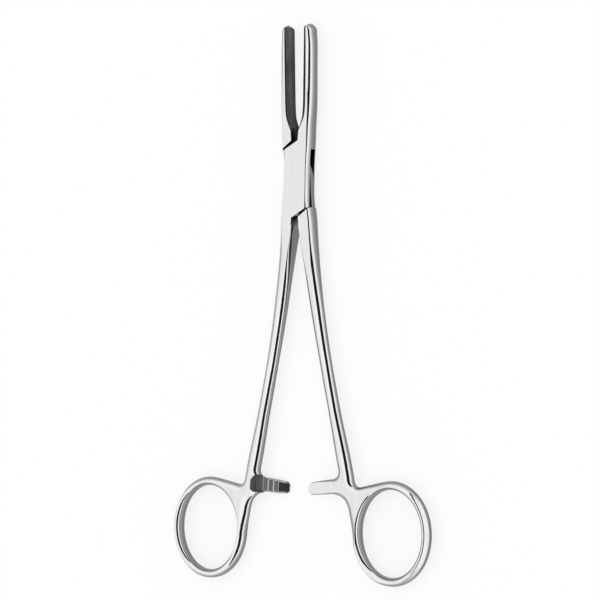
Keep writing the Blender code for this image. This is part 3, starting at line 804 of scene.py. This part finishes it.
def facing_side(tree, normal):
    """1 for faces that look straight to the left or right."""
    return math_node(tree, "ABSOLUTE", parts_of(tree, normal)["X"])


# The painted shade on the milled neck is darkest from the lower shoulder upwards and fades out
# down to this many times its reach.
NECK_FADE = 1.22


def near_shoulder(tree, normal):
    """1 from the lower shoulder upwards, falling to 0 a little below it, however a face is turned."""
    place = add_node(tree, "ShaderNodeTexCoord").outputs["Object"]
    height = parts_of(tree, place)["Y"]
    return spread_over(tree, height, -NECK_FADE * SHOULDER_REACH * MM, -SHOULDER_REACH * MM)


def steel(name, measure, stops, roughness, spread, fineness, depth, metallic=1.0, painted_back_shade=1.0, rim=1.0):
    """Steel with its tone in stops of the measure, which says how a face is turned or where it is.

    The spread is how much of the tone the lines and the streaks take away at most. The painted back
    shade is what is left of the tone at the back of the piece, next to the floor, and the rim is the
    tone of a grazed face.
    """
    material = bpy.data.materials.new(name)
    material.use_nodes = True
    tree = material.node_tree
    shader = tree.nodes["Principled BSDF"]
    shader.inputs["Metallic"].default_value = metallic
    shader.inputs["Specular Tint"].default_value = (rim, rim, rim, 1.0)
    settings = {"Fineness": fineness, "Depth": depth}
    group = add_node(tree, "ShaderNodeGroup", settings, node_tree=marks).outputs
    facing = add_node(tree, "ShaderNodeTexCoord").outputs
    tone = tone_by(tree, measure(tree, facing["Normal"]), stops)
    lines = between(tree, group["Lines"], 1.0 - spread, 1.0)
    streaks = between(tree, group["Streaks"], 1.0 - spread, 1.0)
    marks_and_shade = math_node(tree, "MULTIPLY", lines, streaks)
    # Painted shade: the tone darkens towards the back of the piece, which lies on the floor.
    if painted_back_shade < 1.0:
        height = parts_of(tree, facing["Object"])["Z"]
        back_shade_ramp = spread_over(tree, height, 0.0, BODY_THICKNESS * MM, painted_back_shade, 1.0)
        marks_and_shade = math_node(tree, "MULTIPLY", marks_and_shade, back_shade_ramp)
    # A Mix node for colours has its factor at input 0, its colours at 6 and 7 and its result at 2.
    inputs = {0: 1.0, 6: tone, 7: marks_and_shade}
    mix = add_node(tree, "ShaderNodeMix", inputs, data_type="RGBA", blend_type="MULTIPLY")
    tree.links.new(mix.outputs[2], shader.inputs["Base Color"])
    rough = between(tree, group["Smudges"], roughness * 0.75, roughness * 1.25)
    tree.links.new(rough, shader.inputs["Roughness"])
    tree.links.new(group["Normal"], shader.inputs["Normal"])
    return material


# Painted reflection and shade: the polished steel's grey is pale where a face looks to the front and falls
# to dark grey on its sides.
painted_reflection_stops = (
    (0.0, 0.16),
    (0.36, 0.21),
    (0.54, 0.29),
    (0.64, 0.42),
    (0.78, 0.9),
    (0.86, 0.93),
    (0.9, 0.83),
    (0.95, 0.93),
)
# The clamping face is dark ground steel, with a painted highlight where it looks straight to the side.
face_tone_and_highlight_stops = ((0.0, 0.045), (0.78, 0.05), (0.97, 0.24))
# Painted shade: the milled neck is dark from the lower shoulder upwards and lighter further down.
neck_shade_stops = ((0.0, 0.42), (1.0, 0.1))
# Painted shade: the walls of the slot and the bores inside the box are nearly black.
slot_shade_stops = ((0.0, 0.05), (1.0, 0.05))
# Painted shade: the tongue's cheeks, which run inside the box, are nearly black.
cheek_shade_stops = ((0.0, 0.02), (0.9, 0.025))
# The recess's floor is matt milled steel, and its walls are darker by painted shade.
recess_stops_with_wall_shade = ((0.0, 0.1), (0.3, 0.32), (0.9, 0.32))
# Painted highlight: the teeth's crests are lighter where they look to the front.
crest_highlight_stops = ((0.0, 0.3), (0.45, 0.5), (0.9, 0.6))
# Painted shade: the grooves between the teeth are dark, darkest on their steep walls.
groove_shade_stops = ((0.0, 0.06), (0.85, 0.19))
# Painted shade: the bar's tip is nearly black.
tip_shade_stops = ((0.0, 0.04), (1.0, 0.06))

# The numbers are the roughness, the spread, the fineness and the depth of the marks.
polished_steel = steel("polished_steel", facing_front, painted_reflection_stops, 0.07, 0.05, 2500.0, 0.05)
clamping_face_painted_light = steel(
    "ground_clamping_face_painted_light", facing_side, face_tone_and_highlight_stops, 0.45, 0.35, 1500.0, 0.4, painted_back_shade=0.5, rim=0.1
)
milled_neck_painted_shade = steel("milled_neck_painted_shade", near_shoulder, neck_shade_stops, 0.45, 0.35, 1500.0, 0.3, rim=0.1)
milled_slot_painted_shade = steel("milled_slot_painted_shade", facing_front, slot_shade_stops, 0.5, 0.2, 3000.0, 0.3)
milled_cheek_painted_shade = steel("milled_cheek_painted_shade", facing_front, cheek_shade_stops, 0.5, 0.2, 3000.0, 0.3, rim=0.1)
milled_recess_painted_shade = steel("milled_recess_painted_shade", facing_front, recess_stops_with_wall_shade, 0.6, 0.6, 1500.0, 0.3, metallic=0.2)
tooth_crest = steel("tooth_crest", facing_front, crest_highlight_stops, 0.3, 0.2, 3000.0, 0.3)
tooth_groove = steel("tooth_groove", facing_front, groove_shade_stops, 0.4, 0.5, 900.0, 0.3, metallic=0.2)
bar_tip = steel("bar_tip", facing_front, tip_shade_stops, 0.45, 0.3, 2000.0, 0.3)


def placed(x, y, z, tongue):
    """A point of the drawing, in millimetres, turned and mirrored to where the half lies, in metres."""
    turn = math.radians(REST_OPENING) * (1.0 if tongue else -1.0)
    c, s = math.cos(turn), math.sin(turn)
    x = -x if tongue else x
    return ((x * c - y * s) * MM, (x * s + y * c) * MM, (z + LIFT) * MM)


def object_of(name, mesh, *materials):
    """A piece of the scene from this mesh, with its faces pointing outwards."""
    data = bpy.data.meshes.new(name)
    bmesh.ops.recalc_face_normals(mesh, faces=mesh.faces)
    mesh.to_mesh(data)
    mesh.free()
    for material in materials:
        data.materials.append(material)
    piece = bpy.data.objects.new(name, data)
    bpy.context.scene.collection.objects.link(piece)
    return piece


def forging(name, tongue):
    """One half before it is cut: flat front and back with rounded edges, and a ground clamping face."""
    points, edges = outline(tongue)
    hole_points, hole_edges = hole(tongue)
    outer = loops_of(points, edges, hole_points, hole_edges, EDGE_STEPS, True)
    inner = loops_of(hole_points, hole_edges, points, edges, EDGE_STEPS)
    mesh = bmesh.new()
    rims = {1: [], -1: []}
    for loops in (outer, inner):
        # A square side is the ground clamping face above the jaw's foot, and milled below it, where
        # painted shade darkens it from the lower shoulder upwards. The sides of the lower shoulder are
        # polished.
        count = len(loops[0])
        look = [0] * count
        if loops is outer:
            for i, (_, y) in enumerate(points):
                square = edges[i][1] == 0
                if square and (y > 0 or y < -SHOULDER_REACH):
                    look[i] = 1 if y > FACE_FOOT + 0.8 else 2
        middle = [mesh.verts.new(placed(x, y, 0.0, tongue)) for x, y, _ in loops[0]]
        for side in (1, -1):
            before = middle
            for ring in loops[1:]:
                after = []
                for x, y, share in ring:
                    level = side * share * half_thickness(y)
                    after.append(mesh.verts.new(placed(x, y, level, tongue)))
                for i in range(count):
                    j = (i + 1) % count
                    face = mesh.faces.new((before[i], before[j], after[j], after[i]))
                    face.material_index = look[i]
                before = after
            rims[side].append((before, loops[-1]))
    # The flat of each side is filled with faces that lie between its rim and the ring's opening.
    for side in (1, -1):
        verts = [v for rim, _ in rims[side] for v in rim]
        flat = [Vector((p[0], p[1])) for _, ring in rims[side] for p in ring]
        links, base = [], 0
        for rim, _ in rims[side]:
            links += [(base + i, base + (i + 1) % len(rim)) for i in range(len(rim))]
            base += len(rim)
        made = delaunay_2d_cdt(flat, links, [], 1, 1e-7)
        if len(made[0]) != len(flat):
            raise ValueError(f"the flat of {name} crosses itself")
        order = [o[0] for o in made[3]]
        opening = rims[side][1][1][:, :2]
        for face in made[2]:
            centre = sum((made[0][i] for i in face), Vector((0, 0))) / len(face)
            if not encloses(opening, centre):
                mesh.faces.new([verts[order[i]] for i in face])
    return object_of(name, mesh, polished_steel, clamping_face_painted_light, milled_neck_painted_shade)


def close_up(mesh, rings):
    """Joins rings of points to one closed shape with flat ends."""
    mesh.faces.new(rings[0])
    mesh.faces.new(rings[-1])
    for a, b in zip(rings, rings[1:]):
        for i in range(len(a)):
            j = (i + 1) % len(a)
            mesh.faces.new((a[i], a[j], b[j], b[i]))


def prism(name, points, low, high, tongue, material, upright=False):
    """A cutter from a closed line. It is drawn in X and Y, or in X and Z for an upright one."""
    mesh = bmesh.new()
    ends = []
    for level in (low, high):
        ring = []
        for a, b in points:
            place = placed(a, level, b, tongue) if upright else placed(a, b, level, tongue)
            ring.append(mesh.verts.new(place))
        ends.append(ring)
    close_up(mesh, ends)
    return object_of(name, mesh, material)


ROUND_POINTS = 96


def turned(name, radius, half_length, chamfer, material):
    """A round piece on the pivot's axis. A chamfer above zero takes the edge off its ends."""
    levels = [(radius, -half_length), (radius, half_length)]
    if chamfer:
        levels = [(radius - chamfer, -half_length), (radius, -half_length + chamfer)]
        levels += [(radius, half_length - chamfer), (radius - chamfer, half_length)]
    mesh = bmesh.new()
    rings = []
    for r, z in levels:
        ring = []
        for k in range(ROUND_POINTS):
            t = 2 * math.pi * k / ROUND_POINTS
            ring.append(mesh.verts.new((r * math.cos(t) * MM, r * math.sin(t) * MM, (z + LIFT) * MM)))
        rings.append(ring)
    close_up(mesh, rings)
    return object_of(name, mesh, material)


def plain_mesh(piece):
    """The piece's mesh with its modifiers worked out."""
    bpy.context.view_layer.update()
    finished = piece.evaluated_get(bpy.context.evaluated_depsgraph_get())
    return bpy.data.meshes.new_from_object(finished)


def cut(piece, cutter):
    """Takes the cutter's shape out of the piece. The new faces get the cutter's material."""
    modifier = piece.modifiers.new("cut by " + cutter.name, "BOOLEAN")
    modifier.operation = "DIFFERENCE"
    modifier.solver = "EXACT"
    modifier.material_mode = "TRANSFER"
    modifier.object = cutter
    made = plain_mesh(piece)
    piece.modifiers.remove(modifier)
    piece.data = made
    bpy.data.objects.remove(cutter)


FLAT_NORMAL = 0.995
SHARP_TURN = math.radians(24)


def shaded(piece):
    """Smooth shading, kept sharp at cut edges and where a flat begins."""
    mesh = bmesh.new()
    mesh.from_mesh(piece.data)
    mesh.normal_update()
    for face in mesh.faces:
        face.smooth = True
    for edge in mesh.edges:
        if len(edge.link_faces) != 2:
            continue
        a, b = edge.link_faces
        begins = (abs(a.normal.z) > FLAT_NORMAL) != (abs(b.normal.z) > FLAT_NORMAL)
        edge.smooth = not (begins or edge.calc_face_angle(0.0) > SHARP_TURN)
    mesh.to_mesh(piece.data)
    mesh.free()
    piece.data.update()


# A groove is as long as this share of the pitch, and its floor climbs by this share of its depth.
# The wedges are wider than the bar and lie a little above its middle.
GROOVE_LENGTH = 0.8
GROOVE_CLIMB = 0.98
GROOVE_WIDTH = RATCHET_HEIGHT + 6.0
GROOVE_SHIFT = 0.5


def vector_of(tree, **parts):
    """A vector from its parts, and zero for those not given."""
    return add_node(tree, "ShaderNodeCombineXYZ", parts).outputs["Vector"]


def tooth_row_tree():
    """Geometry Nodes: a row of wedges that cut the grooves between the ratchet's teeth."""
    tree = bpy.data.node_groups.new("tooth_row", "GeometryNodeTree")
    tree.interface.new_socket("Geometry", in_out="OUTPUT", socket_type="NodeSocketGeometry")
    for name, kind in (
        ("Teeth", "NodeSocketInt"),
        ("Pitch", "NodeSocketFloat"),
        ("Depth", "NodeSocketFloat"),
        ("Width", "NodeSocketFloat"),
        ("Material", "NodeSocketMaterial"),
    ):
        tree.interface.new_socket(name, in_out="INPUT", socket_type=kind)
    ins = add_node(tree, "NodeGroupInput").outputs
    step = vector_of(tree, X=math_node(tree, "MULTIPLY", ins["Pitch"], -1.0))
    row = add_node(tree, "GeometryNodeMeshLine", {"Count": ins["Teeth"], "Offset": step}, mode="OFFSET")
    length = math_node(tree, "MULTIPLY", ins["Pitch"], GROOVE_LENGTH)
    size = vector_of(tree, X=length, Y=ins["Width"], Z=ins["Depth"])
    block = add_node(tree, "GeometryNodeMeshCube", {"Size": size})
    # The block's lower face is raised towards one end, which makes a wedge as deep as a tooth there.
    parts = parts_of(tree, add_node(tree, "GeometryNodeInputPosition").outputs["Position"])
    along = math_node(tree, "ADD", math_node(tree, "DIVIDE", parts["X"], ins["Pitch"]), 0.5)
    climb = math_node(tree, "SUBTRACT", GROOVE_CLIMB, math_node(tree, "MULTIPLY", along, GROOVE_CLIMB))
    lower = math_node(tree, "LESS_THAN", parts["Z"], 0.0)
    lift = math_node(tree, "MULTIPLY", math_node(tree, "MULTIPLY", lower, ins["Depth"]), climb)
    raised = {"Geometry": block.outputs["Mesh"], "Offset": vector_of(tree, Z=lift)}
    wedge = add_node(tree, "GeometryNodeSetPosition", raised)
    laid = {"Points": row.outputs["Mesh"], "Instance": wedge.outputs["Geometry"]}
    copies = add_node(tree, "GeometryNodeInstanceOnPoints", laid)
    real = add_node(tree, "GeometryNodeRealizeInstances", {"Geometry": copies.outputs["Instances"]})
    coated = {"Geometry": real.outputs["Geometry"], "Material": ins["Material"]}
    coat = add_node(tree, "GeometryNodeSetMaterial", coated)
    add_node(tree, "NodeGroupOutput", {"Geometry": coat.outputs["Geometry"]})
    return tree


tooth_row = tooth_row_tree()


def tooth_grooves(name, tongue):
    """The grooves' cutter, a plain mesh laid where the bar's teeth are."""
    piece = bpy.data.objects.new(name, bpy.data.meshes.new(name))
    bpy.context.scene.collection.objects.link(piece)
    modifier = piece.modifiers.new("teeth", "NODES")
    modifier.node_group = tooth_row
    values = {
        "Teeth": TOOTH_COUNT,
        "Pitch": TOOTH_PITCH,
        "Depth": TOOTH_DEPTH,
        "Width": GROOVE_WIDTH,
        "Material": tooth_groove,
    }
    for item in tooth_row.interface.items_tree:
        if item.name in values:
            modifier[item.identifier] = values[item.name]
    made = plain_mesh(piece)
    bpy.data.objects.remove(piece)
    side = 1 if tongue else -1
    x = RATCHET_OVERLAP - TOOTH_START - TOOTH_PITCH / 2
    mesh = bmesh.new()
    mesh.from_mesh(made)
    for face in mesh.faces:
        face.material_index = 0
    for vert in mesh.verts:
        u, v, w = vert.co
        z = side * (MEET + TOOTH_DEPTH / 2) - side * w
        vert.co = placed(x + u, v - RATCHET_REACH + GROOVE_SHIFT, z, tongue)
    return object_of(name, mesh, tooth_groove)


# A chamfer on the bar, as (across the bar, into its thickness). It grows from the first tooth to the
# bar's tip. A cutter stands a little over the faces that it cuts and reaches out past the bar.
CHAMFER = (0.75, 1.3)
TIP_CHAMFERS = ((0.73, 1.26), (1.7, 3.0))
OVER = 0.3
OUTSIDE = -1.5


def bar_edge_cutter(name, upper, sections, tongue):
    """Takes the lower or upper edge off the toothed side of the bar, between two sections."""
    side = 1 if tongue else -1
    y, climb, inwards = (RATCHET_TOP, BAR_CLIMB, -1) if upper else (RATCHET_BOTTOM, 0.0, 1)
    mesh = bmesh.new()
    ends = []
    for x, (wide, deep) in sections:
        line_points = (
            (wide * (1 + OVER / deep), -OVER),
            (-wide * OVER / deep, deep + OVER),
            (OUTSIDE, deep + OVER),
            (OUTSIDE, -OVER),
        )
        edge_y = y + climb * (RATCHET_OVERLAP - x)
        ring = [placed(x, edge_y + inwards * a, side * (MEET + b), tongue) for a, b in line_points]
        ends.append([mesh.verts.new(p) for p in ring])
    close_up(mesh, ends)
    bmesh.ops.triangulate(mesh, faces=mesh.faces)
    return object_of(name, mesh, tooth_crest)


def ratchet_cuts(piece, tongue):
    """Takes away the layer of the bar that the other bar passes through, then cuts the teeth."""
    side = 1 if tongue else -1
    face = side * MEET
    deep = side * (MEET + TOOTH_DEPTH)
    far = -side * (RING_HALF + 1.0)
    tip = RATCHET_OVERLAP + 1.0
    first = RATCHET_OVERLAP - TOOTH_START
    last = first - TOOTH_PITCH * TOOTH_COUNT
    start = RATCHET_OVERLAP - RATCHET_THINNED
    low, high = RATCHET_BOTTOM - 2.5, RATCHET_TOP + 3.5
    # The layer's cutter and the recess's overlap by twice this.
    lap = 0.05
    layer = [(tip, face), (last - lap, face), (last - lap, far), (tip, far)]
    cut(piece, prism("bar_layer", layer, low, high, tongue, tooth_crest, True))
    # The recess beside the shank has its corners there cut off, by shares of the bar's height.
    recess_low, recess_high = RATCHET_BOTTOM - 0.1, RATCHET_TOP + RATCHET_HEIGHT * 0.3
    recess = [
        (start + RATCHET_HEIGHT * 0.21, recess_low),
        (last + lap, recess_low),
        (last + lap, recess_high),
        (start + RATCHET_HEIGHT * 0.31, recess_high),
        (start, recess_high - RATCHET_HEIGHT * 0.42),
        (start, recess_low + RATCHET_HEIGHT * 0.21),
    ]
    cut(piece, prism("recess", recess, min(deep, far), max(deep, far), tongue, milled_recess_painted_shade))
    cut(piece, tooth_grooves("tooth_grooves", tongue))
    # A ramp leads up from the tip, so that the other bar's teeth ride over it.
    slope = TOOTH_DEPTH / TOOTH_PITCH * 1.3
    ramp = [(tip, face + side * slope * (tip - first)), (first, face), (first + 0.3, far), (tip, far)]
    cut(piece, prism("tip_ramp", ramp, low, high, tongue, bar_tip, True))
    # Both edges of the toothed side are chamfered, and the corners of the tip are taken off.
    for upper in (False, True):
        along_bar = ((last + 0.3, CHAMFER), (first, CHAMFER))
        cut(piece, bar_edge_cutter("bar_edge", upper, along_bar, tongue))
        along_tip = ((first - 0.1, TIP_CHAMFERS[0]), (tip, TIP_CHAMFERS[1]))
        cut(piece, bar_edge_cutter("tip_edge", upper, along_tip, tongue))
        y, inwards = (RATCHET_TOP, -1) if upper else (RATCHET_BOTTOM, 1)
        corner = [
            (RATCHET_OVERLAP - 2.0, y - inwards * 0.4),
            (RATCHET_OVERLAP + 0.4, y + inwards * 2.0),
            (RATCHET_OVERLAP + 2.0, y - inwards * 2.0),
        ]
        cut(piece, prism("tip_corner", corner, -LIFT - 1.0, LIFT + 1.0, tongue, bar_tip))


box_half = forging("box_half_polished", False)
slot_end = SHOULDER_REACH - SHOULDER_DROP + SLOT_MARGIN
slot_top = SHOULDER_REACH + SLOT_MARGIN * 0.5
slot_slope = (slot_top - slot_end) / (BOX_WIDTH / 2)
slot_line = [
    (BOX_WIDTH, slot_end - slot_slope * BOX_WIDTH / 2),
    (-BOX_WIDTH, slot_top + slot_slope * BOX_WIDTH),
    (-BOX_WIDTH, -slot_end + slot_slope * BOX_WIDTH / 2),
    (BOX_WIDTH, -slot_top - slot_slope * BOX_WIDTH),
]
cut(box_half, prism("slot", slot_line, -SLOT_THICKNESS / 2, SLOT_THICKNESS / 2, False, milled_slot_painted_shade))
ratchet_cuts(box_half, False)
cut(box_half, turned("bore", PIN_DIAMETER / 2 + HAIRLINE, BODY_HALF + 2.0, 0.0, milled_slot_painted_shade))
shaded(box_half)
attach(box_half, "box_side")
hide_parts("box_half")

# The tongue half
# It is the other forging, mirrored, with its jaw on the left. Between its shoulders both cheeks are
# milled away to a tongue that passes through the box. Its ratchet bar lies in front.
tongue_half = forging("tongue_half_polished", True)
shoulder_slope = SHOULDER_DROP / (BOX_WIDTH / 2 * 1.07 + MEET)
shoulder_top = SHOULDER_REACH + RUNNING_GAP * math.hypot(1.0, shoulder_slope) - shoulder_slope * MEET
cheek_left = shoulder_top + shoulder_slope * BOX_WIDTH
cheek_right = shoulder_top - shoulder_slope * BOX_WIDTH
cheek = [
    (-BOX_WIDTH, -cheek_right),
    (BOX_WIDTH, -cheek_left),
    (BOX_WIDTH, cheek_right),
    (-BOX_WIDTH, cheek_left),
]
cut(tongue_half, prism("front_cheek", cheek, TONGUE_HALF, LIFT + 3.0, True, milled_cheek_painted_shade))
cut(tongue_half, prism("back_cheek", cheek, -LIFT - 3.0, -TONGUE_HALF, True, milled_cheek_painted_shade))
ratchet_cuts(tongue_half, True)
cut(tongue_half, turned("bore", PIN_DIAMETER / 2 + HAIRLINE, BODY_HALF + 2.0, 0.0, milled_slot_painted_shade))
shaded(tongue_half)
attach(tongue_half, "tongue_side")
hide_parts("tongue_half")

# The pivot pin
# It is a plain turned pin, riveted into the box half and ground flush with it on both faces, so
# that only a hairline shows.
PIN_CHAMFER = 0.004
pivot_pin = turned("pivot_pin_flush", PIN_DIAMETER / 2, BODY_HALF, PIN_CHAMFER, polished_steel)
shaded(pivot_pin)
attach(pivot_pin, "box_side")
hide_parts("pivot_pin")

# The studio
# A pale floor under soft, even light. One long black card stands to the right, out of the camera's
# sight, and gives the polished edges their dark line. The camera looks down from the right.
CAMERA_TURN = 35.0
CAMERA_PITCH = -1.5
CAMERA_DISTANCE = 0.918
AIM = Vector((0.00028, -0.0392, 0.0028))
CARD_FROM = 33.0
CARD_TO = 66.5
CARD_DISTANCE = 2.0
CARD_HALF_LENGTH = 6.0
CARD_BLACK = 0.005
FLOOR_HALF_SIZE = 4.0
FLOOR_DROP = 0.0001
FLOOR_WHITE = 0.78


def plain_material(name, grey, roughness=0.8):
    """A plain material of one grey."""
    material = bpy.data.materials.new(name)
    material.use_nodes = True
    shader = material.node_tree.nodes["Principled BSDF"]
    shader.inputs["Base Color"].default_value = (grey, grey, grey, 1.0)
    shader.inputs["Roughness"].default_value = roughness
    return material


floor_mesh = bmesh.new()
bmesh.ops.create_grid(floor_mesh, x_segments=1, y_segments=1, size=FLOOR_HALF_SIZE)
bmesh.ops.translate(floor_mesh, verts=floor_mesh.verts, vec=(0, 0, -FLOOR_DROP))
floor_material = plain_material("white_floor", 1.0)
floor_tree = floor_material.node_tree
paths = add_node(floor_tree, "ShaderNodeLightPath").outputs
seen = math_node(floor_tree, "MAXIMUM", paths["Is Camera Ray"], paths["Is Glossy Ray"])
seen = math_node(floor_tree, "MAXIMUM", seen, paths["Is Transmission Ray"])
share_lit = math_node(floor_tree, "MULTIPLY", seen, FLOOR_WHITE)
matt = floor_tree.nodes["Principled BSDF"].outputs[0]
glow = add_node(floor_tree, "ShaderNodeEmission").outputs[0]
blend = add_node(floor_tree, "ShaderNodeMixShader", {0: share_lit, 1: matt, 2: glow}).outputs[0]
floor_tree.links.new(blend, floor_tree.nodes["Material Output"].inputs["Surface"])
floor = object_of("floor", floor_mesh, floor_material)

card_mesh = bmesh.new()
card_corners = []
for degrees, end in ((CARD_FROM, -1), (CARD_TO, -1), (CARD_TO, 1), (CARD_FROM, 1)):
    t = math.radians(degrees)
    y = end * CARD_HALF_LENGTH
    card_corners.append(card_mesh.verts.new((CARD_DISTANCE * math.sin(t), y, CARD_DISTANCE * math.cos(t))))
card_mesh.faces.new(card_corners)
card = object_of("black_card", card_mesh, plain_material("black_card", CARD_BLACK, 1.0))
card.visible_camera = False
card.visible_diffuse = False
card.visible_shadow = False

world = bpy.data.worlds.new("soft_studio")
world.use_nodes = True
world.node_tree.nodes["Background"].inputs["Color"].default_value = (1.0, 1.0, 1.0, 1.0)
world.node_tree.nodes["Background"].inputs["Strength"].default_value = 1.0
bpy.context.scene.world = world

turn = math.radians(CAMERA_TURN)
pitch = math.radians(CAMERA_PITCH)
back = Vector((math.sin(turn) * math.cos(pitch), math.sin(pitch), math.cos(turn) * math.cos(pitch)))
right = Vector((math.cos(turn), 0.0, -math.sin(turn)))
camera_data = bpy.data.cameras.new("camera")
camera_data.lens = 170.0
camera_data.sensor_width = 36.0
camera_data.clip_end = 20.0
camera = bpy.data.objects.new("camera", camera_data)
bpy.context.scene.collection.objects.link(camera)
camera.rotation_mode = "QUATERNION"
camera.location = AIM + back * CAMERA_DISTANCE
camera.rotation_quaternion = Matrix((right, back.cross(right), back)).transposed().to_quaternion()
bpy.context.scene.camera = camera
